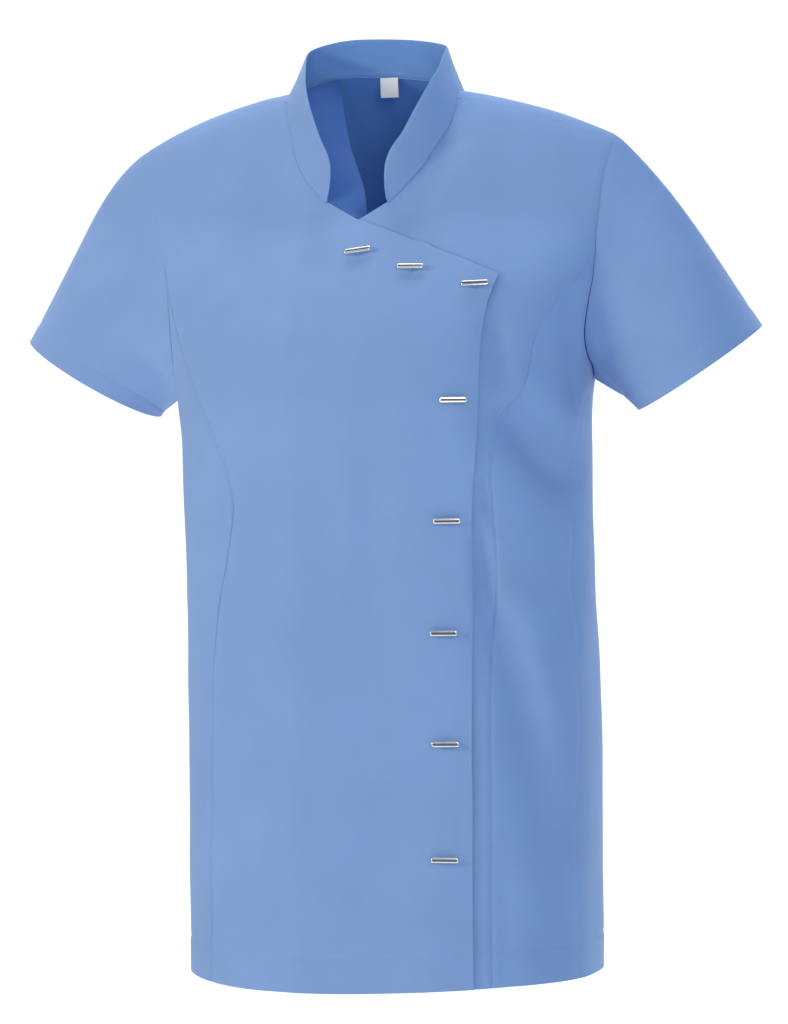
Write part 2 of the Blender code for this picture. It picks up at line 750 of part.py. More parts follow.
def build_sleeve(hand, name):
    """A short set-in sleeve: a tube from the armhole to the slanted cuff."""
    front, front_out = cloth_points(-1, joined(*armhole_front(hand)))
    back, back_out = cloth_points(1, armhole_back(hand))
    ring = np.vstack([front, back[::-1][1:-1]])
    ring_out = np.vstack([front_out, back_out[::-1][1:-1]])
    count = len(ring)
    low = len(front) - 1
    along = np.roll(ring, -1, axis=0) - np.roll(ring, 1, axis=0)
    leave = np.cross(along, ring_out)
    leave /= np.linalg.norm(leave, axis=1, keepdims=True)
    leave *= np.sign(leave[:, :1] * hand)
    shape = SLEEVE[hand]
    corner_out, corner_low = np.array(shape["outer_corner"]), np.array(shape["lower_corner"])
    middle, long_half = (corner_out + corner_low) / 2, (corner_out - corner_low) / 2
    deep_half = np.array([0, -SLEEVE_HALF_DEPTH, -shape["front_dip"]])
    axis = np.cross(long_half, deep_half)
    axis *= -np.sign(axis[2]) / np.linalg.norm(axis)
    order = np.arange(count)
    angle = np.where(order <= low, math.pi * order / low, math.pi * (1 + (order - low) / (count - low)))
    cuff = middle + np.cos(angle)[:, None] * long_half + np.sin(angle)[:, None] * deep_half
    chord = cuff - ring
    length = np.linalg.norm(chord, axis=1, keepdims=True)
    upper_share, straight = ((1 + np.cos(angle)) / 2)[:, None], chord / length
    top_share = shape["cap_roundness"] * upper_share
    start = top_share * leave + (1 - top_share) * straight
    start /= np.linalg.norm(start, axis=1, keepdims=True)
    ring = ring + start * SEAM
    first = ring + start * length * SLEEVE_START_PULL
    end = upper_share * axis + (1 - upper_share) * straight
    last = cuff - end / np.linalg.norm(end, axis=1, keepdims=True) * length * SLEEVE_END_PULL
    grid = []
    for t in np.linspace(0, 1, 9):
        grid.append((1 - t) ** 3 * ring + 3 * t * (1 - t) ** 2 * first
                    + 3 * t * t * (1 - t) * last + t ** 3 * cuff)
    outer = np.array(grid)
    down = np.gradient(outer, axis=0)
    round_way = np.roll(outer, -1, axis=1) - np.roll(outer, 1, axis=1)
    outward = np.cross(down, round_way)
    outward /= np.linalg.norm(outward, axis=-1, keepdims=True)
    centre = outer.mean(axis=1, keepdims=True)
    if np.sum(outward * (outer - centre)) < 0:
        outward = -outward
    return wall(name, outer, outer - outward * CLOTH, material(name, COLOURS["cloth"]), closed=True)


def collar_seam():
    """The neck seam from the right front's collar end round the back to the left's.

    It keeps the panels' points and halves the cells between them.
    """
    right, _ = cloth_points(-1, neck_front(-1)[::-1], over=True)
    left, _ = cloth_points(-1, neck_front(1))
    back, _ = cloth_points(1, neck_back())
    coarse = joined(right, back, left)
    fine = np.repeat(coarse, 2, axis=0)[:-1]
    fine[1::2] = (coarse[1:] + coarse[:-1]) / 2
    return fine


def smoothed(vectors, passes):
    """Unit vectors evened out along a run, with the ends kept."""
    for _ in range(passes):
        middle = (vectors[:-2] + 2 * vectors[1:-1] + vectors[2:]) / 4
        vectors = np.concatenate([vectors[:1], middle, vectors[-1:]])
    return vectors / np.linalg.norm(vectors, axis=1, keepdims=True)


def collar_frame():
    """The neck seam's points, from each of them up to the top edge, and the way out."""
    seam = collar_seam()
    along = smoothed(np.gradient(seam, axis=0), 3)
    run = np.concatenate([[0], np.cumsum(np.linalg.norm(np.diff(seam, axis=0), axis=1))])
    share = run / run[-1]
    edge = [hermite(COLLAR_EDGE["share"], COLLAR_EDGE[name], share) for name in COLLAR_EDGE]
    rise = np.stack(edge[1:], axis=1) - seam
    up = smoothed(rise / np.linalg.norm(rise, axis=1, keepdims=True), 3)
    return seam, rise, smoothed(np.cross(along, up), 5)


def build_collar():
    """The stand collar: a doubled band on the neck seam, rounded at its front ends."""
    seam, rise, out = collar_frame()
    under = rise / np.linalg.norm(rise, axis=1, keepdims=True) * SEAM_UNDER_COLLAR
    outer = seam + under + np.linspace(1, 0, 5)[:, None, None] * rise
    return wall("collar", outer, outer - out * COLLAR_CLOTH, material("collar", COLOURS["cloth"]))


def build_facing():
    """The right front's facing: it hangs from the neck seam and its free edge is straight."""
    end = rows_of(NECKLINE[-1])[-1] * [-1, 1]
    low = end + (FACING_START / end[0] - 1) * (end - [0.0, NECK_CENTRE_HEIGHT])
    front = joined(on_side(-1, np.array([low, end]), V_CELLS), neck_front(-1)[::-1])
    right, outward = cloth_points(-1, front, over=True)
    back, back_out = cloth_points(1, neck_back())
    reach = FACING_BACK_CELLS + 1
    seam, outward = joined(right, back[:reach]), joined(outward, back_out[:reach])
    edge = smooth_run(np.stack(list(FACING_EDGE.values()), axis=1), len(seam) - 1)
    hung = seam - outward * FACING_INSIDE
    across = edge - hung
    hung = hung + across / np.linalg.norm(across, axis=1, keepdims=True) * SEAM
    outer = hung + np.linspace(0, 1, 4)[:, None, None] * (edge - hung)
    down = np.gradient(outer, axis=0)
    facing_out = np.cross(down, np.gradient(outer, axis=1))
    facing_out /= np.linalg.norm(facing_out, axis=-1, keepdims=True)
    return wall("facing_right", outer, outer + facing_out * CLOTH, material("facing", COLOURS["facing"]))


def primitive(name, shape, matrix, target):
    """A box or a cylinder of unit size under a matrix, as its own object."""
    mesh = bpy.data.meshes.new(name)
    body = bmesh.new()
    if shape == "box":
        bmesh.ops.create_cube(body, size=1.0, matrix=matrix)
    else:
        bmesh.ops.create_cone(body, cap_ends=True, segments=12, radius1=0.5, radius2=0.5,
                              depth=1.0, matrix=matrix)
    body.to_mesh(mesh)
    body.free()
    piece = bpy.data.objects.new(name, mesh)
    target.objects.link(piece)
    return piece


def build_label():
    """The folded size label, hanging from the neck seam at the centre back; it is blank."""
    top, outward = cloth_points(1, place(1, LABEL["across"], LABEL["top"]))
    tilt = Matrix.Rotation(-LABEL["tilt"], 4, "X")
    size = Matrix.Diagonal((LABEL["width"], LABEL["thick"], LABEL["drop"], 1))
    hang = Matrix.Translation((0, -LABEL["thick"] / 2, -LABEL["drop"] / 2))
    at = Vector(top) - Vector(outward) * CLOTH - Vector((0, LABEL["clear"], 0))
    piece = primitive("size_label", "box", Matrix.Translation(at) @ tilt @ hang @ size, GARMENT)
    round_off = piece.modifiers.new("Round", "BEVEL")
    round_off.width = LABEL["thick"] / 3
    round_off.segments = 1
    piece.data.materials.append(material("label", COLOURS["label"], 0.6))


def button_mesh():
    """A bar with a slot between its two rails, on a short shank behind its middle."""
    depth, shank = BUTTON["depth"], BUTTON_STANDOFF - BUTTON["clear"]
    bar = primitive("bar", "box", Matrix.Diagonal((BUTTON_LENGTH, depth, BUTTON_HEIGHT, 1)), CUTTERS)
    round_off = bar.modifiers.new("Round", "BEVEL")
    round_off.width = BUTTON["rounding"]
    round_off.segments = 2
    slot_size = (BUTTON["slot_length"], BUTTON["slot_depth"] * 2, BUTTON["slot_height"], 1)
    slot_at = Matrix.Translation((0, -depth / 2, 0)) @ Matrix.Diagonal(slot_size)
    slot = primitive("slot", "box", slot_at, CUTTERS)
    overlap = depth / 4
    shank_at = Matrix.Translation((0, depth / 2 + (shank - overlap) / 2, 0))
    turn = Matrix.Rotation(math.pi / 2, 4, "X")
    shank_size = Matrix.Diagonal((BUTTON["shank_width"], BUTTON["shank_width"], shank + overlap, 1))
    post = primitive("shank", "cylinder", shank_at @ turn @ shank_size, CUTTERS)
    for tool, operation in ((slot, "DIFFERENCE"), (post, "UNION")):
        step = bar.modifiers.new(tool.name, "BOOLEAN")
        step.object = tool
        step.operation = operation
    bpy.context.view_layer.update()
    graph = bpy.context.evaluated_depsgraph_get()
    mesh = bpy.data.meshes.new_from_object(bar.evaluated_get(graph))
    for helper in (bar, slot, post):
        bpy.data.objects.remove(helper, do_unlink=True)
    mesh.materials.clear()
    mesh.materials.append(material("button_metal", COLOURS["metal"], 0.25, 1.0))
    return mesh


def build_buttons():
    """Eight bar buttons along the top and the free edge of the right front."""
    mesh = button_mesh()
    for number, (across, height, tilt) in enumerate(zip(*BUTTONS.values()), 1):
        point, outward = cloth_points(-1, place(-1, across, height), over=True)
        forward = -Vector(outward)
        right = forward.cross(Vector((0, 0, 1))).normalized()
        up = right.cross(forward)
        turned = Matrix((right, forward, up)).transposed() @ Matrix.Rotation(-math.radians(tilt), 3, "Y")
        piece = bpy.data.objects.new(f"button_{number}", mesh)
        piece.location = Vector(point) + Vector(outward) * (BUTTON_STANDOFF + BUTTON["depth"] / 2)
        piece.rotation_euler = turned.to_euler()
        GARMENT.objects.link(piece)


build_front_right()
build_front_left()
build_side_front(-1, "side_front_right")
build_side_front(1, "side_front_left")
build_back()
build_sleeve(-1, "sleeve_right")
build_sleeve(1, "sleeve_left")
build_collar()
build_facing()
build_label()
build_buttons()
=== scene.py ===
"""A worn tunic jacket: short sleeves, a stand collar and a one-sided front, on its CAD frame."""
import math

import bmesh
import bpy
import numpy as np
from mathutils import Matrix, Vector


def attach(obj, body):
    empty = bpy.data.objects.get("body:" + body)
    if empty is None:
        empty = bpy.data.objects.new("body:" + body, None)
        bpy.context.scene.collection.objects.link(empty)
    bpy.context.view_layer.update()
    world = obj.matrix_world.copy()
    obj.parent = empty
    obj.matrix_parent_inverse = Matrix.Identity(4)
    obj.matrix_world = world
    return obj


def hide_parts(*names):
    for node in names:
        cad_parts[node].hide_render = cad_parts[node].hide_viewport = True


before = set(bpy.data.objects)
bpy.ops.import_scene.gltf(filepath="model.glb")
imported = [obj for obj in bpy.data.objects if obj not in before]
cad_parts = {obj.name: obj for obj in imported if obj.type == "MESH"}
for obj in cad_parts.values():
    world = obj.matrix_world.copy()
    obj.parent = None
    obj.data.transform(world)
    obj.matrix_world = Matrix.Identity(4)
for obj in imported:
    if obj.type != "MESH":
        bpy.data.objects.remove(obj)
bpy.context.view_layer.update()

# ---------------------------------------------------------------- studio
# A plain pale sweep, lit softly from the front, the upper left and above, and the camera at
# the angle of the photograph: a little to the wearer's left of straight in front.
FLOOR_HEIGHT = -1.15
SWEEP_BACK = 2.6
SWEEP_HALF_WIDTH = 6.0
SWEEP_BEND = 1.2          # radius between the floor and the wall
SWEEP_STEPS = 12
WALL_HEIGHT = 5.0
AIR_LIGHT = (0.45, 0.70, 1.0, 1)  # cool light from all round, which fills the shadows
AIR_STRENGTH = 0.54
AIR_SEEN = (0.93, 0.93, 0.94, 1)  # what a camera sees past the sweep
SOFT_BOXES = (  # where each stands, what it looks at, its size, power and colour
    ("key", (-2.4, -2.2, 0.5), (0, 0, -0.35), 1.0, 52.0, (1.0, 0.80, 0.55)),
    ("fill", (1.6, -3.0, 0.6), (0, 0, -0.4), 1.6, 36.0, (1.0, 0.88, 0.72)),
    ("top", (-0.3, 0.0, 2.6), (0, 0, -0.2), 2.0, 20.0, (1.0, 0.88, 0.70)),
    ("backdrop_light", (0.0, 1.2, 3.2), (0, 2.6, 0.2), 2.5, 105.0, (1.0, 0.95, 0.88)),
)
CAMERA_TURN = math.radians(18.0)
CAMERA_RISE = math.radians(0.8)
CAMERA_ROLL = math.radians(-0.7)
CAMERA_DISTANCE = 3.4
CAMERA_LENS = 138.7
AIM = Vector((0.0, 0.0, -0.355))
AIM_SHIFT = (0.01034, -0.00327)


def put(name, data):
    """A new object in the scene."""
    thing = bpy.data.objects.new(name, data)
    bpy.context.scene.collection.objects.link(thing)
    return thing


def add(tree, kind, sockets=(), **settings):
    """A new node with these settings, and with these values on its own sockets."""
    node = tree.nodes.new(kind)
    for name, value in settings.items():
        setattr(node, name, value)
    for name, value in dict(sockets).items():
        node.inputs[name].default_value = value
    return node


def wire(tree, *wires):
    """Links, each given as the node and output it leaves and the node and input it enters."""
    for source, output, target, socket in wires:
        tree.links.new(source.outputs[output], target.inputs[socket])


def new_finish(name, sockets):
    """A material, its node tree, and its shader with these values."""
    finish = bpy.data.materials.new(name)
    finish.use_nodes = True
    skin = finish.node_tree.nodes["Principled BSDF"]
    for socket, value in sockets.items():
        skin.inputs[socket].default_value = value
    return finish, finish.node_tree, skin


rows = [(-SWEEP_BACK * 2, 0.0)]
for step in range(SWEEP_STEPS + 1):
    angle = math.pi / 2 * step / SWEEP_STEPS
    rows.append((SWEEP_BACK - SWEEP_BEND + SWEEP_BEND * math.sin(angle),
                 SWEEP_BEND - SWEEP_BEND * math.cos(angle)))
rows.append((SWEEP_BACK, WALL_HEIGHT))
sweep_mesh = bpy.data.meshes.new("studio_sweep")
sweep_mesh.from_pydata(
    [(x, y, FLOOR_HEIGHT + z) for y, z in rows for x in (-SWEEP_HALF_WIDTH, SWEEP_HALF_WIDTH)], [],
    [(2 * i, 2 * i + 1, 2 * i + 3, 2 * i + 2) for i in range(len(rows) - 1)],
)
sweep_mesh.shade_smooth()
paper, tree, skin = new_finish(
    "studio_paper", {"Base Color": (0.95, 0.95, 0.955, 1), "Roughness": 0.9})
one_sided = add(tree, "ShaderNodeMixShader")  # a view from the back looks through the wall
wire(tree,
     (add(tree, "ShaderNodeNewGeometry"), "Backfacing", one_sided, 0),
     (skin, 0, one_sided, 1),
     (add(tree, "ShaderNodeBsdfTransparent"), 0, one_sided, 2),
     (one_sided, 0, tree.nodes["Material Output"], 0))
sweep_mesh.materials.append(paper)
put("studio_sweep", sweep_mesh)

world = bpy.data.worlds.new("studio_air")
world.use_nodes = True
tree = world.node_tree
air = tree.nodes["Background"]
air.inputs["Color"].default_value = AIR_LIGHT
air.inputs["Strength"].default_value = AIR_STRENGTH
choice = add(tree, "ShaderNodeMixShader")
wire(tree,
     (add(tree, "ShaderNodeLightPath"), "Is Camera Ray", choice, 0),
     (air, 0, choice, 1),
     (add(tree, "ShaderNodeBackground", {"Color": AIR_SEEN}), 0, choice, 2),
     (choice, 0, tree.nodes["World Output"], 0))
bpy.context.scene.world = world
bpy.context.scene.view_settings.view_transform = "Standard"

for name, stand, aim, size, power, colour in SOFT_BOXES:
    light = bpy.data.lights.new(name, "AREA")
    light.shape, light.size, light.energy, light.color = "SQUARE", size, power, colour
    lamp = put(name, light)
    lamp.location = stand
    lamp.visible_camera = False
    lamp.rotation_euler = (Vector(aim) - Vector(stand)).to_track_quat("-Z", "Y").to_euler()

camera = put("camera", bpy.data.cameras.new("camera"))
camera.data.lens = CAMERA_LENS
camera.data.sensor_width = 36.0
camera.data.clip_end = 30.0
bpy.context.scene.camera = camera
back_way = Vector((
    math.sin(CAMERA_TURN) * math.cos(CAMERA_RISE),
    -math.cos(CAMERA_TURN) * math.cos(CAMERA_RISE),
    math.sin(CAMERA_RISE),
))
right_way = Vector((math.cos(CAMERA_TURN), math.sin(CAMERA_TURN), 0.0))
up_way = back_way.cross(right_way)
turned = Matrix((right_way, up_way, back_way)).transposed() @ Matrix.Rotation(CAMERA_ROLL, 3, "Z")
spot = AIM + back_way * CAMERA_DISTANCE + right_way * AIM_SHIFT[0] + up_way * AIM_SHIFT[1]
camera.matrix_world = Matrix.Translation(spot) @ turned.to_4x4()


# ---------------------------------------------------------------- right front
# The right front, cut in one piece from its princess seam to the free edge, and lapped over the
# left front. Poly-cotton twill: its edge is folded under and pressed, its hem turned up and sewn.
CLOTH = 0.0012            # the twill with its finish
SHOULDER_ROUND = 0.150    # height over which the body falls from the shoulder line
SHOULDER_TILT = 0.022     # how much higher the right shoulder lies near the neck, per metre
TILT_HALF = 0.1           # half width up to which it is tilted
SHOULDER_SEAM_TURN = 0.33 # how far the shoulder seam lies in front of the ridge, radians
FRONT_SQUARENESS = 2.35   # superellipse exponents of the body's front and back halves
BACK_SQUARENESS = 2.80
HEM_FRONT = -0.7603       # heights of the hem at the centre front and at the sides
HEM_SIDE = -0.7515
HEM_SLANT = 0.38          # how far the lowest point lies towards the right, of a half width
HEM_FLATNESS = 2.4        # exponent of its curve
HALF_BODY = 0.178         # half width of the body at the hips
FIRST_HALF_WIDTH = 0.18   # guess from which a place's distance across settles, in so many steps
SETTLING_STEPS = 12
UNDERARM_HEIGHT = {1: -0.246, -1: -0.259}
UNDERLAP_EDGE = -0.022    # hidden front edge of the left front
LAYER_GAP = 0.0014        # air between the right front and the left front under it
LIFT_BEFORE = 0.045       # how far before that edge the right front starts to lift, and over
LIFT_RUN = 0.026          # what run it does
HALF_BLEND = 0.03         # depth over which the folds of a half set in from its side
SLACK_RISE = 0.0005       # height of the faint waves all over, which set in below the shoulders
SLACK_TOP = 0.02
SLACK_RUN = 0.05
HEM_DEPTH = 0.030         # from the hem's edge up to its stitches
LEVEL_HALF = 0.11         # half width over which a hem's line is put on its own height
HEM_CELLS = 2             # fine rows of a panel's net that the hem takes up
HEM_ROWS = 12             # rows into which each of them is divided
FINE = 5                  # steps in each cell of the pattern pieces' nets
SHELL = CLOTH * 0.8       # thickness of the shell drawn for one layer
SEAM_HALF = 0.0016        # half width of the roll into a seam
PUCKER_REACH = 0.006      # how far the sewing's puckers run from it
PUCKER_SHARE = 0.22       # their height, of the roll's
ROLL_CHANGE = (-0.14, 0.22)  # height below which a roll changes, and over what run
HEM_PROUD = 0.0003        # how far a turned hem stands out
HEM_BLEND = 0.0008        # width over which its upper edge does so
STITCH_GROOVE = 0.0006    # depth and half width of the groove at its stitches
STITCH_GROOVE_HALF = 0.0020
HEM_FOLD = 0.0006         # thickness that a turned hem adds
TUBE_CLOSING = 0.003      # width of a tube's last cell in its UV map
MM = 0.001


def table(names, *rows):
    """A small table as a dictionary of columns."""
    return {name: np.array(column, float) for name, column in zip(names.split(), zip(*rows))}


BODY = table(
    "height half_width front back shift",
    (0.06, 0.246, 0.046, 0.08, 0.0), (0.0, 0.242, 0.048, 0.094, 0.0),
    (-0.06, 0.233, 0.05, 0.102, 0.0), (-0.1, 0.224, 0.054, 0.106, 0.001),
    (-0.14, 0.212, 0.078, 0.11, 0.002), (-0.18, 0.199, 0.104, 0.112, 0.003),
    (-0.22, 0.187, 0.12, 0.112, 0.003), (-0.26, 0.18, 0.126, 0.11, 0.003),
    (-0.3, HALF_BODY, 0.122, 0.107, 0.004), (-0.36, HALF_BODY, 0.109, 0.102, 0.004),
    (-0.42, 0.1785, 0.103, 0.104, 0.0048), (-0.5, 0.1793, 0.105, 0.114, 0.0063),
    (-0.58, 0.1792, 0.108, 0.127, 0.0062), (-0.66, 0.1783, 0.109, 0.134, 0.0053),
    (-0.8, HALF_BODY, 0.11, 0.137, 0.005),
)
SHOULDER_LINE = table(
    "across height",
    (0.0, 0.034), (0.04, 0.03), (0.06, 0.021), (0.0745, 0.0045), (0.1, -0.001), (0.15, -0.015),
    (0.175, -0.024), (0.212, -0.041), (0.25, -0.062),
)
NECKLINE = {
    1: table(
        "across height",
        (0.0745, -0.008), (0.075, -0.016), (0.0732, -0.026), (0.0668, -0.0394), (0.0608, -0.0498),
        (0.0514, -0.0651), (0.0415, -0.0769), (0.0258, -0.0947),
    ),
    -1: table(
        "across height",
        (0.0745, -0.008), (0.0705, -0.015), (0.0658, -0.0252), (0.061, -0.04), (0.055, -0.0575),
        (0.0464, -0.0722), (0.0386, -0.0811), (0.0275, -0.0938),
    ),
}
NECK_CENTRE_HEIGHT = -0.1100  # bottom of the V, at the centre front
NECK_BACK_LINE = table(
    "across drop",
    (-0.0745, 0.0), (-0.0715, 0.0024), (-0.061, 0.0072), (-0.04, 0.0104), (0.0, 0.0142),
    (0.04, 0.0142), (0.061, 0.0086), (0.0715, 0.003), (0.0745, 0.0),
)
OVERLAP_TOP = table(
    "across height",
    (0.0, NECK_CENTRE_HEIGHT), (0.04, -0.1245), (0.085, -0.1418), (0.13, -0.16),
)
OVERLAP_EDGE = table(
    "across height",
    (0.13, -0.16), (0.1232, -0.1868), (0.1198, -0.2316), (0.1188, -0.27), (0.1142, -0.315),
    (0.1099, -0.35), (0.1075, -0.4767), (0.1065, HEM_FRONT),
)
ARMHOLE_FRONT = {
    1: table(
        "across height",
        (0.212, -0.053), (0.206, -0.076), (0.2025, -0.11), (0.2015, -0.143), (0.197, -0.18),
        (0.1895, -0.22),
    ),
    -1: table(
        "across height",
        (-0.211, -0.053), (-0.202, -0.086), (-0.19, -0.115), (-0.18, -0.143), (-0.172, -0.18),
        (-0.172, -0.22),
    ),
}
ARMHOLE_BACK = table(
    "across height",
    (0.212, -0.05), (0.206, -0.08), (0.199, -0.12), (0.193, -0.165), (0.188, -0.21),
)
PRINCESS = {
    1: table(
        "across height",
        (0.2015, -0.143), (0.178, -0.178), (0.1605, -0.2125), (0.1565, -0.235), (0.15, -0.262),
        (0.137, -0.2826), (0.1272, -0.313), (0.1255, -0.3577), (0.1278, -0.4067), (0.123, -0.472),
        (0.1212, HEM_FRONT),
    ),
    -1: table(
        "across height",
        (-0.18, -0.143), (-0.156, -0.2125), (-0.13, -0.27), (-0.109, -0.308), (-0.101, -0.34),
        (-0.1024, -0.362), (-0.1128, -0.4056), (-0.1265, -0.467), (-0.132, HEM_FRONT),
    ),
}
SIDE_SEAM = {
    1: table(
        "height degrees",
        (UNDERARM_HEIGHT[1], 96.0), (-0.275, 87.0), (-0.31, 82.0), (-0.4, 78.0), (-0.8, 78.0),
    ),
    -1: table(
        "height degrees",
        (UNDERARM_HEIGHT[-1], 80.0), (-0.8, 78.0),
    ),
}
SHOULDER_CELLS = 5
NECK_CELLS = 7
V_CELLS = 2
OVERLAP_CELLS = 9
UNDERLAP_CELLS = 2
UPPER_ARM_CELLS = 6
PRINCESS_TOP_CELLS = 2
LOWER_ARM_CELLS = 8
BACK_ARM_CELLS = 14
BACK_NECK_CELLS = 12
EVENING_ROWS = 5    # rows over which a front's columns become evenly spaced
FALL_WEIGHT = 0.22  # what a fall counts beside a turn in the length of a border
FRONT_LEVELS = (
    -0.185, -0.210, -0.235, -0.260, -0.285, -0.315,
    -0.350, -0.390, -0.435, -0.490, -0.555, -0.630,
)

# Folds of the worn cloth in millimetres, as lines on the front (-1) or the back (+1): the half
# width over which each dies away, how far it stands out (a trough is negative), how much its line
# bows, and whether it fades at its ends (1) or runs on (0).
FOLDS = table(
    "side x_from z_from x_to z_to spread rise bow fades",
    (-1, 142, -280, 186, -352, 20, -7, 0, 0), (-1, 130, -460, 162, -620, 20, -5.5, 0, 0),
    (-1, 76, -45, 52, -112, 12, -2.5, 0, 0), (-1, -50, -430, -75, -730, 28, 3, 0, 0),
    (-1, 30, -430, 36, -740, 28, -2, 0, 0), (1, -85, -180, -60, -520, 26, 5.5, 0, 0),
    (1, 85, -170, 64, -500, 26, 6, 0, 0), (1, 0, -280, 4, -720, 34, -4.5, 0, 0),
    (1, 120, -480, 130, -745, 24, 4.5, 0, 0), (1, -125, -460, -118, -745, 24, 4, 0, 0),
    (-1, 112, -366, 124, -470, 8.5, -6.8, 0, 1), (-1, 115, -326, 124, -366, 5, -3.2, 0, 1),
    (-1, 185, -372, 179, -452, 10, -4.8, 2, 1), (-1, 127, -190, 134, -262, 10, -4.2, 3, 1),
    (-1, 136, -262, 178, -342, 13.5, -9.5, 2, 1), (-1, 152, -238, 186, -300, 10, 2.6, 3, 1),
    (-1, 192, -165, 184, -275, 10, -7.2, -3, 1), (-1, 177, -250, 181, -400, 7, 1.6, 2, 1),
    (-1, 128, -430, 172, -690, 13, -6.8, 6, 1), (-1, 139, -420, 180, -600, 10, 2.2, 6, 1),
    (-1, 131, -640, 134, -790, 10, -1.6, 0, 0), (-1, 92, -30, 37, -103, 6, -1.4, -5, 1),
    (-1, 107, -36, 60, -116, 9, 1.4, -5, 1), (-1, 31, -240, 24, -480, 18, -2.2, 4, 1),
    (-1, 5, -250, 0, -420, 14, 1.2, 4, 1), (-1, 94, -500, -21, -760, 26, -3, 10, 1),
    (-1, 108, -518, 78, -545, 4.2, -1, 2, 1), (-1, 106, -618, 76, -652, 4.4, -1.1, 2, 1),
    (-1, 101, -440, 78, -458, 3.8, -0.8, 2, 1), (-1, -150, -215, -105, -300, 12, -1.6, -6, 1),
    (-1, -110, -330, -60, -430, 13, -1.1, 6, 1), (-1, -133, -415, -148, -470, 6, -1.4, 2, 1),
    (-1, -42, -440, -48, -700, 20, 1.2, 4, 1), (-1, -82, -200, -42, -300, 16, -0.9, 4, 1),
    (-1, -88, -95, -140, -180, 15, -1.2, 6, 1), (-1, 105, -85, 160, -175, 15, -1, -6, 1),
    (1, -150, -120, -90, -260, 14, -2.2, 10, 1), (1, 150, -130, 86, -250, 14, -2, -10, 1),
    (1, -90, -300, 70, -315, 10, 1.6, 12, 1), (1, 100, -345, -60, -352, 11, -1.6, -10, 1),
    (1, -150, -270, -105, -370, 10, 2, 6, 1), (1, 155, -275, 112, -365, 10, 1.8, -6, 1),
    (1, -60, -420, -75, -700, 14, -1.8, 5, 1), (1, 66, -440, 72, -690, 14, -1.6, -5, 1),
    (1, -34, 4, -40, -44, 4, -2.4, 2, 1), (1, -16, 0, -12, -50, 5, 2.1, 2, 1),
    (1, 4, 0, 1, -40, 4, -2.1, -2, 1), (1, 32, 2, 44, -56, 5, -2.4, 3, 1),
    (1, 50, 4, 58, -40, 4, 1.3, -2, 1), (1, -30, -52, 20, -46, 6, 2.7, 3, 1),
    (1, 0, -74, 50, -66, 7, -1.6, -3, 1),
)


def hermite(keys, values, at):
    """Smooth curve through the table's rows that never overshoots them."""
    order = np.argsort(keys)
    keys, values = keys[order], values[order]
    steps = np.diff(keys)
    slopes = np.diff(values) / steps
    inner = np.zeros(len(keys) - 2)
    rising = slopes[:-1] * slopes[1:] > 0
    near, far = 2 * steps[1:] + steps[:-1], steps[1:] + 2 * steps[:-1]
    inner[rising] = ((near + far) / (near / np.where(rising, slopes[:-1], 1.0)
                                     + far / np.where(rising, slopes[1:], 1.0)))[rising]
    tangents = np.concatenate([slopes[:1], inner, slopes[-1:]])
    at = np.clip(at, keys[0], keys[-1])
    row = np.clip(np.searchsorted(keys, at) - 1, 0, len(steps) - 1)
    t = (at - keys[row]) / steps[row]
    return (
        (1 + 2 * t) * (1 - t) ** 2 * values[row]
        + t * (1 - t) ** 2 * steps[row] * tangents[row]
        + t * t * (3 - 2 * t) * values[row + 1]
        + t * t * (t - 1) * steps[row] * tangents[row + 1]
    )


def body_size(column, height):
    return hermite(BODY["height"], BODY[column], height)


def shoulder_height(across):
    level = hermite(SHOULDER_LINE["across"], SHOULDER_LINE["height"], np.abs(across))
    return level - SHOULDER_TILT * across * np.clip(2 - np.abs(across) / TILT_HALF, 0, 1)


def unit(vectors):
    return vectors / np.linalg.norm(vectors, axis=-1, keepdims=True)


def lengths_along(net, axis=0):
    """Distance along each line of a net, from its first point to each of its points."""
    first = np.take(net, [0], axis)
    return np.cumsum(np.linalg.norm(np.diff(net, axis=axis, prepend=first), axis=-1), axis=axis)


def straight(keys, values, at):
    return np.interp(at, keys, values)


def smooth_run(points, count):
    """count + 1 points, evenly spaced on a smooth curve through the given ones."""
    points = np.asarray(points, float)
    lengths = lengths_along(points)
    fine = np.linspace(0, lengths[-1], 20 * count + 1)
    curve = hermite if len(points) > 2 else straight
    dense = np.stack([curve(lengths, column, fine) for column in points.T], axis=1)
    run = lengths_along(dense)
    even = np.linspace(0, run[-1], count + 1)
    return np.stack([np.interp(even, run, column) for column in dense.T], axis=1)


def joined(*runs):
    """Runs set end to end, each shared end point kept once."""
    return np.vstack([runs[0]] + [run[1:] for run in runs[1:]])


def rows_of(line):
    return np.stack([line["across"], line["height"]], axis=1)


def surface(side, turn, fall):
    turn, fall = np.broadcast_arrays(np.asarray(turn, float), np.asarray(fall, float))
    steep = np.abs(fall) < math.pi / 2
    drop = SHOULDER_ROUND * np.where(steep, 1 - np.cos(fall), 1 + np.abs(fall) - math.pi / 2)
    across = FIRST_HALF_WIDTH * np.sin(turn)
    for _ in range(SETTLING_STEPS):
        height = shoulder_height(across) - drop
        across = body_size("shift", height) + body_size("half_width", height) * np.sin(turn)
    half = np.where((np.cos(turn) < 0) ^ (fall < 0), -side, side)
    power = np.where(half < 0, FRONT_SQUARENESS, BACK_SQUARENESS)
    depth = np.where(half < 0, body_size("front", height), body_size("back", height))
    level = np.clip(1 - np.abs(np.sin(turn)) ** power, 0, 1) ** (1 / power)
    rise = np.where(steep, np.abs(np.sin(fall)), 1.0)
    return np.stack([across, half * depth * level * rise, height], axis=-1)


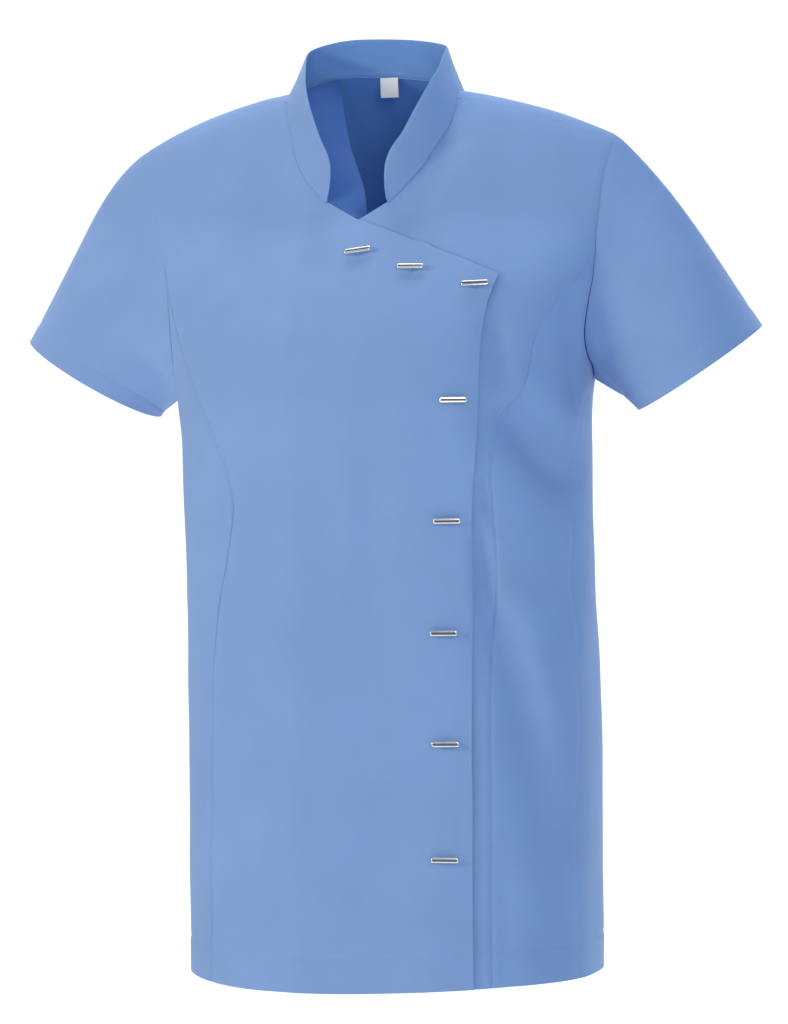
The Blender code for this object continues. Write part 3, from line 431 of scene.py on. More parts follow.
def normal(side, turn, fall):
    """The outward normal of the surface, from small steps along it."""
    step = 1e-4
    turning = surface(side, turn + step, fall) - surface(side, turn - step, fall)
    falling = surface(side, turn, fall + step) - surface(side, turn, fall - step)
    return unit(-side * np.cross(falling, turning))


def place(side, across, height):
    """(turn, fall) of the point of one half at this distance across and this height."""
    across, height = np.asarray(across, float), np.asarray(height, float)
    share = (across - body_size("shift", height)) / body_size("half_width", height)
    turn = np.arcsin(np.clip(share, -1, 1))
    drop = np.maximum(shoulder_height(across) - height, 0) / SHOULDER_ROUND
    fall = np.where(drop < 1, np.arccos(1 - np.minimum(drop, 1)), drop - 1 + math.pi / 2)
    return np.stack([turn, fall], axis=-1)


def bell(offset, half):
    return np.exp(-((offset / half) ** 2))


def crease(flat, run, spread, rise, bow=0.0, fades=True):
    """How far a crease lifts the cloth at points measured from its start. run is its line."""
    along = np.clip(flat @ run / (run @ run), 0, 1)
    across = unit(np.array([-run[1], run[0]]))
    line = along[..., None] * run + (bow * np.sin(math.pi * along))[..., None] * across
    away = np.linalg.norm(flat - line, axis=-1)
    strength = np.sin(math.pi * along) ** 0.8 if fades else 1.0
    return rise * strength * bell(away, spread)


def fold_rise(points):
    """How far the folds and the slack of the worn cloth lift it at these points."""
    total = np.zeros(points.shape[:-1])
    for side, x_from, z_from, x_to, z_to, spread, rise, bow, fades in zip(*FOLDS.values()):
        same_half = np.clip(side * points[..., 1] / HALF_BLEND, 0, 1)
        flat = points[..., [0, 2]] - [x_from * MM, z_from * MM]
        run = np.array([x_to - x_from, z_to - z_from]) * MM
        total += crease(flat, run, spread * MM, rise * MM, bow * MM, fades) * same_half
    x, y, z = points[..., 0], points[..., 1], points[..., 2]
    slack = np.sin(31 * x + 17 * z + 1.3) * np.sin(23 * z - 12 * x + 0.4 + 9 * y)
    slack += 0.6 * np.sin(57 * x - 38 * z + 2.1) * np.sin(41 * z + 29 * x + 14 * y)
    return total + SLACK_RISE * slack * np.clip((SLACK_TOP - z) / SLACK_RUN, 0, 1)


def overlap_lift(across):
    """How far the right front stands off the body where the left front lies under it."""
    share = np.clip((across - UNDERLAP_EDGE + LIFT_BEFORE) / LIFT_RUN, 0, 1)
    return (CLOTH + LAYER_GAP) * share * share * (3 - 2 * share)


def cloth_points(side, places, over=False):
    """Points of the cloth's outer face at these places, and its normals."""
    turn, fall = places[..., 0], places[..., 1]
    base = surface(side, turn, fall)
    outward = normal(side, turn, fall)
    rise = fold_rise(base)
    if over:
        rise = rise + overlap_lift(base[..., 0])
    return base + outward * rise[..., None], outward


def hem_height(across):
    share = np.clip((across - body_size("shift", HEM_SIDE)) / HALF_BODY, -1, 1)
    share = share + HEM_SLANT * (1 - share ** 2)
    return HEM_SIDE + (HEM_FRONT - HEM_SIDE) * (1 - np.abs(share) ** HEM_FLATNESS)


def place_on_hem(side, turn):
    across = body_size("shift", HEM_SIDE) + HALF_BODY * np.sin(turn)
    return place(side, across, hem_height(across))


def line_at(line, height):
    """Place on the front where a table's line reaches a height, or the hem if none is given."""
    if height is None:
        height = hem_height(line["across"][-1])
    return place(-1, hermite(line["height"], line["across"], height), height)


def on_side(side, rows, count):
    return place(side, *smooth_run(rows, count).T)


def side_place(hand, height, side):
    """The side seam at one height, as a place of the front or the back half."""
    turn = math.radians(hermite(SIDE_SEAM[hand]["height"], SIDE_SEAM[hand]["degrees"], height))
    turn = turn if side < 0 else math.pi - turn
    across = body_size("shift", height) + body_size("half_width", height) * hand * math.sin(turn)
    return np.array([hand * turn, place(side, across, height)[1]])


def side_seam(hand, side):
    """The side seam, from the underarm to the hem, with rows like the princess seam's."""
    top = PRINCESS[hand]["height"][0]
    first = np.linspace(top, FRONT_LEVELS[0], PRINCESS_TOP_CELLS + 1)
    levels = np.concatenate([first, FRONT_LEVELS[1:], [HEM_SIDE]])
    underarm = UNDERARM_HEIGHT[hand]
    heights = underarm + (levels - top) / (HEM_SIDE - top) * (HEM_SIDE - underarm)
    run = np.array([side_place(hand, height, side) for height in heights])
    run[-1, 1] = place_on_hem(side, run[-1, 0])[1]
    return run


def on_ridge(side, across):
    """The place on the shoulder seam at this distance across."""
    height = shoulder_height(across) - SHOULDER_ROUND * (1 - math.cos(SHOULDER_SEAM_TURN))
    return np.array([place(side, across, height)[0], -side * SHOULDER_SEAM_TURN])


def armhole_tip(hand, side):
    return on_ridge(side, ARMHOLE_FRONT[hand]["across"][0])


def neck_point(hand, side):
    return on_ridge(side, hand * NECKLINE[hand]["across"][0])


def armhole_front(hand):
    """The armhole from the shoulder to the princess seam, and from there to the underarm."""
    rows = place(-1, *rows_of(ARMHOLE_FRONT[hand]).T)
    rows = np.vstack([armhole_tip(hand, -1), rows[1:], side_place(hand, UNDERARM_HEIGHT[hand], -1)])
    dense = smooth_run(rows, 240)
    start = line_at(PRINCESS[hand], PRINCESS[hand]["height"][0])
    split = np.argmin(np.linalg.norm(dense - start, axis=1))
    upper = smooth_run(dense[: split + 1], UPPER_ARM_CELLS)
    return upper, smooth_run(dense[split:], LOWER_ARM_CELLS)


def armhole_back(hand):
    """From the shoulder seam, which lies in front of the ridge, to the underarm."""
    rows = place(1, *(rows_of(ARMHOLE_BACK) * [hand, 1]).T)
    low = side_place(hand, UNDERARM_HEIGHT[hand], 1)
    turned = side_place(hand, UNDERARM_HEIGHT[hand] + 0.004, 1)
    turned[0] = (rows[-1, 0] + low[0]) / 2
    ridge = np.array([armhole_tip(hand, 1)[0], 0.0])
    rows = np.vstack([armhole_tip(hand, 1), ridge, rows[1:], turned, low])
    return smooth_run(rows, BACK_ARM_CELLS)


def shoulder_run(hand, side):
    """The shoulder seam, from the collar to the armhole."""
    return np.linspace(neck_point(hand, side), armhole_tip(hand, side), SHOULDER_CELLS + 1)


def neck_front(hand):
    """The front neckline under the collar, from the shoulder seam to the collar's end."""
    rows = place(-1, *(rows_of(NECKLINE[hand]) * [hand, 1]).T)
    rows[0] = neck_point(hand, -1)
    return smooth_run(rows, NECK_CELLS)


def neck_v(hand):
    """The bare neckline, from the collar's end to the bottom of the V."""
    end = rows_of(NECKLINE[hand])[-1] * [hand, 1]
    return on_side(-1, np.array([end, [0.0, NECK_CENTRE_HEIGHT]]), V_CELLS)


def neck_back():
    """The back neckline, from the right shoulder seam to the left one."""
    across, drop = NECK_BACK_LINE["across"], NECK_BACK_LINE["drop"]
    line = place(1, across, shoulder_height(across) - drop)
    return smooth_run(np.vstack([neck_point(-1, 1), line, neck_point(1, 1)]), BACK_NECK_CELLS)


def down_to_hem(start, line, cells):
    """A border from its start to a table's line, with a row on each level and on the hem."""
    levels = [line_at(line, height) for height in (*FRONT_LEVELS, None)]
    return joined(smooth_run(np.array([start, levels[0]]), cells), np.array(levels))


def princess_run(hand):
    """The princess seam, from the armhole to the hem."""
    return down_to_hem(armhole_front(hand)[0][-1], PRINCESS[hand], PRINCESS_TOP_CELLS)


def shares_along(run):
    """How far along it each point of a border lies, from 0 to 1, counting turns most."""
    steps = np.abs(np.diff(run, axis=0)) @ [1.0, FALL_WEIGHT]
    return np.concatenate([[0], np.cumsum(steps)]) / np.sum(steps)


def patch(top, bottom, left, right):
    """A grid of places between four border runs (Coons patch), row by row from the top."""
    u = shares_along(top)
    if len(bottom) == 2:
        bottom = bottom[0] + u[:, None] * (bottom[1] - bottom[0])
    u = u[None, :, None]
    v = np.linspace(0, 1, len(left))[:, None, None]
    ruled = (1 - v) * top[None] + v * bottom[None] + (1 - u) * left[:, None] + u * right[:, None]
    corners = (
        (1 - u) * (1 - v) * top[0]
        + u * (1 - v) * top[-1]
        + (1 - u) * v * bottom[0]
        + u * v * bottom[-1]
    )
    return ruled - corners


def level_row(height, shares, first, last):
    """Places between two border points, all at one height; no height gives the hem's."""
    row = first + shares[:, None] * (last - first)
    across = surface(-1, row[:, 0], row[:, 1])[:, 0]
    return place(-1, across, hem_height(across) if height is None else height)


def front_grid(top, left, right):
    """A front's places: a patch down to the first level, then level rows to the hem.

    left and right give the borders' places on each row of the patch and on each level.
    """
    levels = (*FRONT_LEVELS, None)
    count = len(levels)
    shares = shares_along(top)
    even = np.linspace(0, 1, len(top))
    rows = []
    for step, height in enumerate(levels):
        blend = min(step / EVENING_ROWS, 1.0)
        mixed = (1 - blend) * shares + blend * even
        rows.append(level_row(height, mixed, left[step - count], right[step - count]))
    upper = patch(top, rows[0], left[: 1 - count], right[: 1 - count])
    return np.concatenate([upper, np.array(rows[1:])])


def front_side_border(hand):
    """Armhole and princess seam of a front, from the shoulder to the hem."""
    return joined(armhole_front(hand)[0], princess_run(hand))


def free_border(line, corner):
    """A front's free edge, with as many rows as the border at its princess seam."""
    return down_to_hem(place(-1, *corner), line, UPPER_ARM_CELLS + PRINCESS_TOP_CELLS)


def finer(grid, breaks, axis):
    """The net with FINE steps in each of its cells, smooth except at the named lines."""
    net = np.moveaxis(grid, axis, 0)
    stops = [0, *breaks, len(net) - 1]
    t = (np.arange(FINE) / FINE).reshape(-1, *([1] * (net.ndim - 1)))
    rows = []
    for first, last in zip(stops, stops[1:]):
        run = net[first : last + 1]
        run = np.concatenate([[2 * run[0] - run[1]], run, [2 * run[-1] - run[-2]]])
        for a, b, c, d in zip(run, run[1:], run[2:], run[3:]):
            rows.append(0.5 * (2 * b + (c - a) * t + (2 * a - 5 * b + 4 * c - d) * t * t
                               + (3 * b - a - 3 * c + d) * t ** 3))
    rows.append(net[-1:])
    return np.moveaxis(np.concatenate(rows), 0, axis)


def away_from(points, line):
    """Distance of each point from a line of points."""
    flat = points.reshape(-1, 3)
    near = np.full(len(flat), 1.0)
    for start in range(0, len(line), 40):
        gaps = np.linalg.norm(flat[:, None] - line[None, start : start + 40], axis=-1)
        near = np.minimum(near, gaps.min(axis=1))
    return near.reshape(points.shape[:-1])


def seam_rise(points, line, seed, roll_up=0.0009, roll_low=0.0009):
    """The roll of the cloth into a seam, and the small puckers that the sewing draws up.

    The roll runs from one depth at the chest to another at the waist.
    """
    away = away_from(points, line)
    wave = points @ np.array([150.0 + seed, 90.0 - seed, 210.0])
    pucker = np.sin(wave + 1.7 * np.sin(0.37 * wave + seed)) * np.sin(0.61 * wave + 2 * seed)
    low = np.clip((ROLL_CHANGE[0] - points[..., 2]) / ROLL_CHANGE[1], 0, 1)
    roll = roll_up + (roll_low - roll_up) * low
    puckers = PUCKER_SHARE * roll * pucker * np.exp(-away / PUCKER_REACH)
    return puckers - roll * bell(away, SEAM_HALF)


def hem_band(away, depth):
    """One on the turned hem, nothing above it."""
    return 1 / (1 + np.exp(np.clip((away - depth) / HEM_BLEND, -40, 40)))


def hem_rise(away, depth):
    """The turned hem: a little prouder than the cloth above it, with a groove at its stitches."""
    groove = STITCH_GROOVE * bell(away - depth, STITCH_GROOVE_HALF)
    return HEM_PROUD * hem_band(away, depth) - groove


def hem_thickness(away, depth):
    """The shell's thickness, which grows by the turned layer at a hem."""
    return SHELL + HEM_FOLD * hem_band(away, depth)


outer_nets = {}


def shell(name, outer, outward, thickness, finish, inside=None, closed=False):
    """A thin closed shell of cloth behind a net of points, with its lengths as a UV map."""
    outer_nets[name] = outer
    rows, columns = outer.shape[:2]
    inner = outer - outward * np.broadcast_to(thickness, outer.shape[:2])[..., None]
    v, u = lengths_along(outer), lengths_along(outer, 1)
    u = u - u[:, columns // 2 : columns // 2 + 1]
    index = np.arange(rows * columns).reshape(rows, columns)
    if closed:
        index, v = (np.concatenate([grid, grid[:, :1]], axis=1) for grid in (index, v))
        u = np.concatenate([u, u[:, -1:] + TUBE_CLOSING], axis=1)
    around = (np.s_[:-1, :-1], np.s_[1:, :-1], np.s_[1:, 1:], np.s_[:-1, 1:])
    quads = np.stack([index[part] for part in around], axis=-1).reshape(-1, 4)
    corner = np.stack([u, v], axis=-1)
    face_uv = np.stack([corner[part] for part in around], axis=2).reshape(-1, 4, 2)
    shift = rows * columns
    rims = [index[0], index[-1][::-1]]
    if not closed:
        rims += [index[:, 0][::-1], index[:, -1]]
    rim_quads = [np.stack([r[:-1], r[1:], r[1:] + shift, r[:-1] + shift], axis=-1) for r in rims]
    rim_quads = np.concatenate(rim_quads)
    faces = np.concatenate([quads, quads[:, ::-1] + shift, rim_quads])
    uv = np.concatenate([face_uv, face_uv[:, ::-1], np.zeros((len(rim_quads), 4, 2))])
    points = np.concatenate([outer.reshape(-1, 3), inner.reshape(-1, 3)])
    first, beside, _, across = (points[column] for column in quads.T)
    way = np.cross(beside - first, across - first)
    if np.sum(way * outward.reshape(-1, 3)[quads[:, 0]]) < 0:
        faces, uv = faces[:, ::-1], uv[:, ::-1]
    mesh = bpy.data.meshes.new(name)
    mesh.from_pydata(points.tolist(), [], faces.tolist())
    layer = mesh.uv_layers.new(name="Cloth")
    layer.uv.foreach_set("vector", uv.reshape(-1).astype(np.float32))
    mesh.materials.append(finish)
    # The second finish goes on the inner faces; the cloth pieces give it the darker twill of
    # painted shade.
    if inside:
        mesh.materials.append(inside)
        under = np.zeros(len(faces), np.int32)
        under[len(quads) : 2 * len(quads)] = 1
        mesh.polygons.foreach_set("material_index", under)
    mesh.shade_smooth()
    mesh.set_sharp_from_angle(angle=math.radians(55))
    return put(name, mesh)


def ramp_between(tree, low, high, first=0.0, last=1.0):
    """A colour ramp from one colour to another, between two of its input's values."""
    ramp = tree.nodes.new("ShaderNodeValToRGB")
    for stop, at, colour in zip(ramp.color_ramp.elements, (first, last), (low, high)):
        stop.position, stop.color = at, (*colour, 1)
    return ramp


def twill(name, colour, shade):
    """Poly-cotton twill: fine diagonal lines, uneven yarn, a soft bloom and faint blotches."""
    finish, tree, skin = new_finish(name, {
        "Roughness": 0.82, "Specular IOR Level": 0.25, "Sheen Weight": 0.22,
        "Sheen Roughness": 0.45, "Sheen Tint": (0.72, 0.82, 1.0, 1)})
    lengths = add(tree, "ShaderNodeUVMap", uv_map="Cloth")
    lines = add(tree, "ShaderNodeTexWave", {"Scale": 780.0, "Distortion": 0.6, "Detail": 1.0},
                wave_type="BANDS", bands_direction="DIAGONAL")
    stretch = add(tree, "ShaderNodeMapping", {"Scale": (1400.0, 90.0, 1.0)})
    yarn = add(tree, "ShaderNodeTexNoise", {"Scale": 1.0, "Detail": 2.0})
    blotch = add(tree, "ShaderNodeTexNoise", {"Scale": 16.0, "Detail": 3.0})
    weave = add(tree, "ShaderNodeMath", {1: 0.55}, operation="MULTIPLY_ADD")
    tone = add(tree, "ShaderNodeMath", {1: 0.16}, operation="MULTIPLY_ADD")
    ramp = ramp_between(tree, [c * shade for c in colour], colour, 0.30, 0.95)
    bump = add(tree, "ShaderNodeBump", {"Strength": 0.25, "Distance": 0.00012})
    wire(tree,
         (lengths, "UV", lines, "Vector"), (lengths, "UV", stretch, "Vector"),
         (stretch, "Vector", yarn, "Vector"),
         (add(tree, "ShaderNodeTexCoord"), "Object", blotch, "Vector"),
         (yarn, "Fac", weave, 0), (lines, "Fac", weave, 2),
         (weave, 0, tone, 0), (blotch, "Fac", tone, 2),
         (tone, 0, ramp, "Fac"), (ramp, "Color", skin, "Base Color"),
         (weave, 0, bump, "Height"), (bump, "Normal", skin, "Normal"))
    return finish


blue_twill = twill("blue_twill", (0.190, 0.318, 0.600), 0.90)
# A bluer copy of the twill for the collar's inner face: painted shade inside the neck.
painted_shade_collar = twill("painted_shade_collar", (0.150, 0.318, 0.690), 0.86)
# A darker, bluer copy of the twill for the inner faces of the panels and sleeves: painted shade
# inside the garment.
painted_shade_inside = twill("painted_shade_inside", (0.108, 0.292, 0.760), 0.86)


def as_sheet(piece, node):
    """Ties a cloth piece to the root frame, and hides the CAD node that it stands for."""
    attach(piece, "root")
    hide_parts(node)


def with_hem(net, side):
    """The net with its last row on the hem's line, and close rows up to above the stitches."""
    across = surface(side, net[-1, :, 0], net[-1, :, 1])[:, 0]
    middle = np.abs(across) < LEVEL_HALF
    net[-1, middle] = place(side, across[middle], hem_height(across[middle]))
    close = np.linspace(0, 1, HEM_ROWS + 1)[1:, None, None]
    cells = [a + close * (b - a) for a, b in zip(net[-HEM_CELLS - 1 : -1], net[-HEM_CELLS:])]
    return np.concatenate([net[:-HEM_CELLS], *cells])


def body_panel(name, side, net, seams, seed, over=False):
    """A body panel's shell: its net on the worn form, with folds, seams and a sewn hem.

    seams gives each seam's part of the net, and its roll at the chest and at the waist.
    """
    outer, outward = cloth_points(side, with_hem(net, side), over)
    rise = np.zeros(outer.shape[:2])
    for number, (line, roll_up, roll_low) in enumerate(seams):
        rise += seam_rise(outer, outer[line], seed + 3 * number, roll_up, roll_low)
    above = outer[..., 2] - outer[-1:, :, 2]
    rise += hem_rise(above, HEM_DEPTH)
    # Its inner faces take the darker, bluer twill: painted shade inside the garment.
    return shell(name, outer + outward * rise[..., None], outward, hem_thickness(above, HEM_DEPTH),
                 blue_twill, painted_shade_inside)


FIRST_COLUMN, LAST_COLUMN = np.s_[:, 0], np.s_[:, -1]


def top_row(first, last):
    return np.s_[0, first * FINE : last * FINE + 1]


overlap = on_side(-1, rows_of(OVERLAP_TOP), OVERLAP_CELLS)
top = joined(shoulder_run(-1, -1)[::-1], neck_front(-1), neck_v(-1), overlap)
right = free_border(OVERLAP_EDGE, rows_of(OVERLAP_EDGE)[0])
neck_from, neck_to = SHOULDER_CELLS, SHOULDER_CELLS + NECK_CELLS
net = front_grid(top, front_side_border(-1), right)
net = finer(finer(net, [UPPER_ARM_CELLS], 0), [neck_from, neck_to, neck_to + V_CELLS], 1)
cloth_front_right = body_panel(
    "cloth_front_right", -1, net,
    [(FIRST_COLUMN, 0.0004, 0.0009), (top_row(0, neck_from), 0.0002, 0.0002),
     (top_row(neck_from, neck_to), 0.0009, 0.0009)],
    over=True, seed=2.0)
as_sheet(cloth_front_right, "front_right")


# ---------------------------------------------------------------- left front
# The left front lies under the right one as far as its hidden edge near the centre, and
# carries the buttons' shanks. The same twill, joined to the side front by a princess seam.
end = rows_of(NECKLINE[1])[-1]
slope = (end[1] - NECK_CENTRE_HEIGHT) / end[0]
corner = np.array([UNDERLAP_EDGE, NECK_CENTRE_HEIGHT + slope * UNDERLAP_EDGE])
underlap = on_side(-1, np.array([corner, [0.0, NECK_CENTRE_HEIGHT]]), UNDERLAP_CELLS)
top = joined(underlap, neck_v(1)[::-1], neck_front(1)[::-1], shoulder_run(1, -1))
edge = table("across height", corner, (UNDERLAP_EDGE, HEM_FRONT))
neck_from, neck_to = UNDERLAP_CELLS + V_CELLS, UNDERLAP_CELLS + V_CELLS + NECK_CELLS
net = front_grid(top, free_border(edge, corner), front_side_border(1))
net = finer(finer(net, [UPPER_ARM_CELLS], 0), [UNDERLAP_CELLS, neck_from, neck_to], 1)
cloth_front_left = body_panel(
    "cloth_front_left", -1, net,
    [(LAST_COLUMN, 0.0008, 0.0009), (top_row(neck_from, neck_to), 0.0009, 0.0009),
     (top_row(neck_to, neck_to + SHOULDER_CELLS), 0.0002, 0.0002)], seed=5.0)
as_sheet(cloth_front_left, "front_left")


# ---------------------------------------------------------------- side fronts
# A narrow panel under each arm, between the princess seam and the side seam. It shapes the
# bust and the waist; the same twill, pressed open at both seams.
for hand, word in ((-1, "right"), (1, "left")):
    princess, seam = princess_run(hand), side_seam(hand, -1)
    net = patch(armhole_front(hand)[1], np.array([princess[-1], seam[-1]]), princess, seam)
    across = surface(-1, net[-1, :, 0], net[-1, :, 1])[:, 0]
    net[-1] = place(-1, across, hem_height(across))
    net = finer(finer(net if hand > 0 else net[:, ::-1], [], 0), [], 1)
    front_edge, side_edge = (FIRST_COLUMN, LAST_COLUMN) if hand > 0 else (LAST_COLUMN, FIRST_COLUMN)
    piece = body_panel(f"cloth_side_front_{word}", -1, net,
                       [(front_edge, 0.0006 + 0.0002 * hand, 0.0009), (side_edge, 0.0005, 0.0005),
                        (top_row(0, LOWER_ARM_CELLS), 0.0006, 0.0006)], seed=7.0 + hand)
    as_sheet(piece, f"side_front_{word}")


# ---------------------------------------------------------------- back
# The back is one piece cut on the fold. It reaches over the shoulder ridge to shoulder seams
# that lie a little in front of it, and hangs straight and slack from the shoulder blades.
right, left = (joined(armhole_back(hand), side_seam(hand, 1)) for hand in (-1, 1))
top = joined(shoulder_run(-1, 1)[::-1], neck_back(), shoulder_run(1, 1))
turns = np.linspace(right[-1, 0], left[-1, 0], len(top))
bottom = np.stack([turns, place_on_hem(1, turns)[:, 1]], axis=1)
neck_from, neck_to = SHOULDER_CELLS, SHOULDER_CELLS + BACK_NECK_CELLS
net = patch(top, bottom, right, left)
net = finer(finer(net, [BACK_ARM_CELLS], 0), [neck_from, neck_to], 1)
cloth_back = body_panel(
    "cloth_back", 1, net,
    [(FIRST_COLUMN, 0.0006, 0.0005), (LAST_COLUMN, 0.0006, 0.0005),
     (top_row(0, neck_from), 0.0002, 0.0002),
     (top_row(neck_to, neck_to + SHOULDER_CELLS), 0.0002, 0.0002)], seed=11.0)
as_sheet(cloth_back, "back")


# ---------------------------------------------------------------- sleeves
# Short set-in sleeves: a tube of twill from the armhole to a slanted cuff with a sewn hem. They
# stand out from the body as on a wearer whose arms hang slightly away.
SLEEVE_HALF_DEPTH = 0.056
SLEEVE_START_PULL = 0.30  # share of the sleeve's length over which it leaves the armhole
SLEEVE_END_PULL = 0.36
SLEEVE_GIRTH = 0.44       # lengths to which the creases' shares are taken
SLEEVE_FALL = 0.14
SLEEVE = {
    1: {
        "outer_corner": (0.3300, 0.020, -0.2060),
        "lower_corner": (0.2255, 0.020, -0.2705),
        "front_dip": 0.014,  # how much lower the cuff's front hangs than its corners' line
        "cap_roundness": 0.45,
    },
    -1: {
        "outer_corner": (-0.3300, 0.020, -0.2025),
        "lower_corner": (-0.2138, 0.020, -0.2725),
        "front_dip": 0.000,
        "cap_roundness": 0.85,
    },
}
SLEEVE_ROWS = 45
CUFF_DEPTH = 0.018        # from the cuff's edge up to its stitches
# Creases of a sleeve: hand, share of the way round and down at each end, half width, rise.
SLEEVE_CREASES = table(
    "hand round_from down_from round_to down_to spread rise",
    (-1, 0.1, 0.1, 0.02, 0.55, 0.016, -0.0018), (-1, 0.2, 0.3, 0.11, 0.62, 0.014, 0.0014),
    (-1, 0.33, 0.16, 0.2, 0.52, 0.016, -0.0014), (-1, 0.44, 0.25, 0.3, 0.6, 0.014, -0.0022),
    (-1, 0.78, 0.2, 0.88, 0.65, 0.022, -0.002), (-1, 0.66, 0.1, 0.76, 0.6, 0.02, 0.0018),
    (1, 0.1, 0.12, 0.04, 0.6, 0.018, -0.0016), (1, 0.24, 0.2, 0.14, 0.6, 0.016, 0.0012),
    (1, 0.4, 0.2, 0.28, 0.62, 0.014, -0.002), (1, 0.8, 0.22, 0.9, 0.66, 0.022, -0.0018),
    (1, 0.64, 0.12, 0.74, 0.6, 0.02, 0.0018),
)


def sleeve_rise(hand, round_share, down_share):
    total = np.zeros(round_share.shape)
    flat = np.stack([round_share * SLEEVE_GIRTH, down_share * SLEEVE_FALL], axis=-1)
    for side, *ends, spread, rise in zip(*SLEEVE_CREASES.values()):
        if side == hand:
            first, last = np.reshape(ends, (2, 2)) * [SLEEVE_GIRTH, SLEEVE_FALL]
            total += crease(flat - first, last - first, spread, rise)
    return total


for hand, word in ((-1, "right"), (1, "left")):
    upper, lower = (finer(run, [], 0) for run in armhole_front(hand))
    front, front_out = cloth_points(-1, joined(upper, lower))
    back, back_out = cloth_points(1, finer(armhole_back(hand), [], 0))
    ring = np.vstack([front, back[::-1][1:-1]])
    ring_out = np.vstack([front_out, back_out[::-1][1:-1]])
    count, low = len(ring), len(front) - 1
    along = np.roll(ring, -1, axis=0) - np.roll(ring, 1, axis=0)
    leave = unit(np.cross(along, ring_out))
    leave *= np.sign(leave[:, :1] * hand)
    shape = SLEEVE[hand]
    corner_out, corner_low = np.array(shape["outer_corner"]), np.array(shape["lower_corner"])
    middle, long_half = (corner_out + corner_low) / 2, (corner_out - corner_low) / 2
    deep_half = np.array([0, -SLEEVE_HALF_DEPTH, -shape["front_dip"]])
    axis = unit(np.cross(long_half, deep_half))
    axis *= -np.sign(axis[2])
    order = np.arange(count)
    behind = math.pi * (1 + (order - low) / (count - low))
    angle = np.where(order <= low, math.pi * order / low, behind)
    cuff = middle + np.cos(angle)[:, None] * long_half + np.sin(angle)[:, None] * deep_half
    chord = cuff - ring
    length = np.linalg.norm(chord, axis=1, keepdims=True)
    upper_share, direct = ((1 + np.cos(angle)) / 2)[:, None], chord / length
    top_share = shape["cap_roundness"] * upper_share
    start = unit(top_share * leave + (1 - top_share) * direct)
    first = ring + start * length * SLEEVE_START_PULL
    end = unit(upper_share * axis + (1 - upper_share) * direct)
    last = cuff - end * length * SLEEVE_END_PULL
    t = np.linspace(0, 1, SLEEVE_ROWS)[:, None, None]
    outer = ((1 - t) ** 3 * ring + 3 * t * (1 - t) ** 2 * first
             + 3 * t * t * (1 - t) * last + t ** 3 * cuff)
    down = np.gradient(outer, axis=0)
    round_way = np.roll(outer, -1, axis=1) - np.roll(outer, 1, axis=1)
    outward = unit(np.cross(down, round_way))
    if np.sum(outward * (outer - outer.mean(axis=1, keepdims=True))) < 0:
        outward = -outward
    from_cuff = np.linalg.norm(outer - outer[-1:], axis=-1)
    round_share = np.broadcast_to(order / count, outer.shape[:2])
    down_share = np.broadcast_to(t[..., 0], outer.shape[:2])
    rise = seam_rise(outer, outer[0], 4.0 + hand, 0.0005, 0.0003) + hem_rise(from_cuff, CUFF_DEPTH)
    rise += sleeve_rise(hand, round_share, down_share)
    # The inner faces take the darker, bluer twill: painted shade inside the sleeve.
    piece = shell(f"cloth_sleeve_{word}", outer + outward * rise[..., None], outward,
                  hem_thickness(from_cuff, CUFF_DEPTH), blue_twill, painted_shade_inside, closed=True)
    as_sheet(piece, f"sleeve_{word}")


# ---------------------------------------------------------------- collar
# A stand collar of two layers of twill with an interlining, sewn to the neck edge, with rounded
# front ends that stop short of the V of the neck.
COLLAR_CLOTH = 0.0020     # two layers and the interlining
COLLAR_UNDER = 0.0014     # how far it reaches down behind the panels' neck edge
COLLAR_ROWS = 20
COLLAR_PROUD = 0.0002     # how far the outside lies off its own form
TOP_ROLL = 0.0007         # depth and half width of the roll into the top edge
TOP_ROLL_HALF = 0.0011
REAR_HALF = 0.15          # half width of the gathered part at the back, of the collar's run
BELLY_RISE = 0.0007       # height of the long waves, and of the short ones at the top
RIPPLE_RISE = 0.0003
CRINKLE_RISE = 0.0013     # height of the crinkles at the back
CRINKLE_BAND = (0.28, 0.2)  # where they are strongest up the collar, and their half width
RIDGE_RISE = 0.0008       # the ridge above the neck seam, how far up it lies and its half width
RIDGE_UP = 0.0024
RIDGE_HALF = 0.0012
COLLAR_EDGE = table(
    "share across depth height",
    (0.0, -0.0267, -0.0565, -0.092), (0.027, -0.0215, -0.0595, -0.07),
    (0.054, -0.0232, -0.06, -0.0569), (0.098, -0.0306, -0.055, -0.0435),
    (0.138, -0.0371, -0.0525, -0.0292), (0.17, -0.0429, -0.049, -0.0142),
    (0.221, -0.0507, -0.0375, 0.0078), (0.265, -0.057, -0.02, 0.0263),
    (0.282, -0.06, -0.01, 0.0334), (0.313, -0.0625, 0.0035, 0.0395), (0.361, -0.058, 0.0145, 0.045),
    (0.431, -0.029, 0.0235, 0.0515), (0.511, 0.0085, 0.0275, 0.0508),
    (0.595, 0.045, 0.0225, 0.0455), (0.648, 0.058, 0.0125, 0.0418), (0.682, 0.0612, 0.004, 0.0388),
    (0.713, 0.0628, -0.0085, 0.033), (0.74, 0.0632, -0.0235, 0.0205),
    (0.777, 0.0598, -0.0365, 0.008), (0.836, 0.0499, -0.0495, -0.0157),
    (0.901, 0.0385, -0.0545, -0.0385), (0.946, 0.0298, -0.058, -0.0508),
    (0.973, 0.023, -0.058, -0.068), (1.0, 0.025, -0.0543, -0.093),
)


def smoothed(vectors, passes):
    """Unit vectors evened out along a run, with the ends kept."""
    for _ in range(passes):
        middle = (vectors[:-2] + 2 * vectors[1:-1] + vectors[2:]) / 4
        vectors = np.concatenate([vectors[:1], middle, vectors[-1:]])
    return unit(vectors)


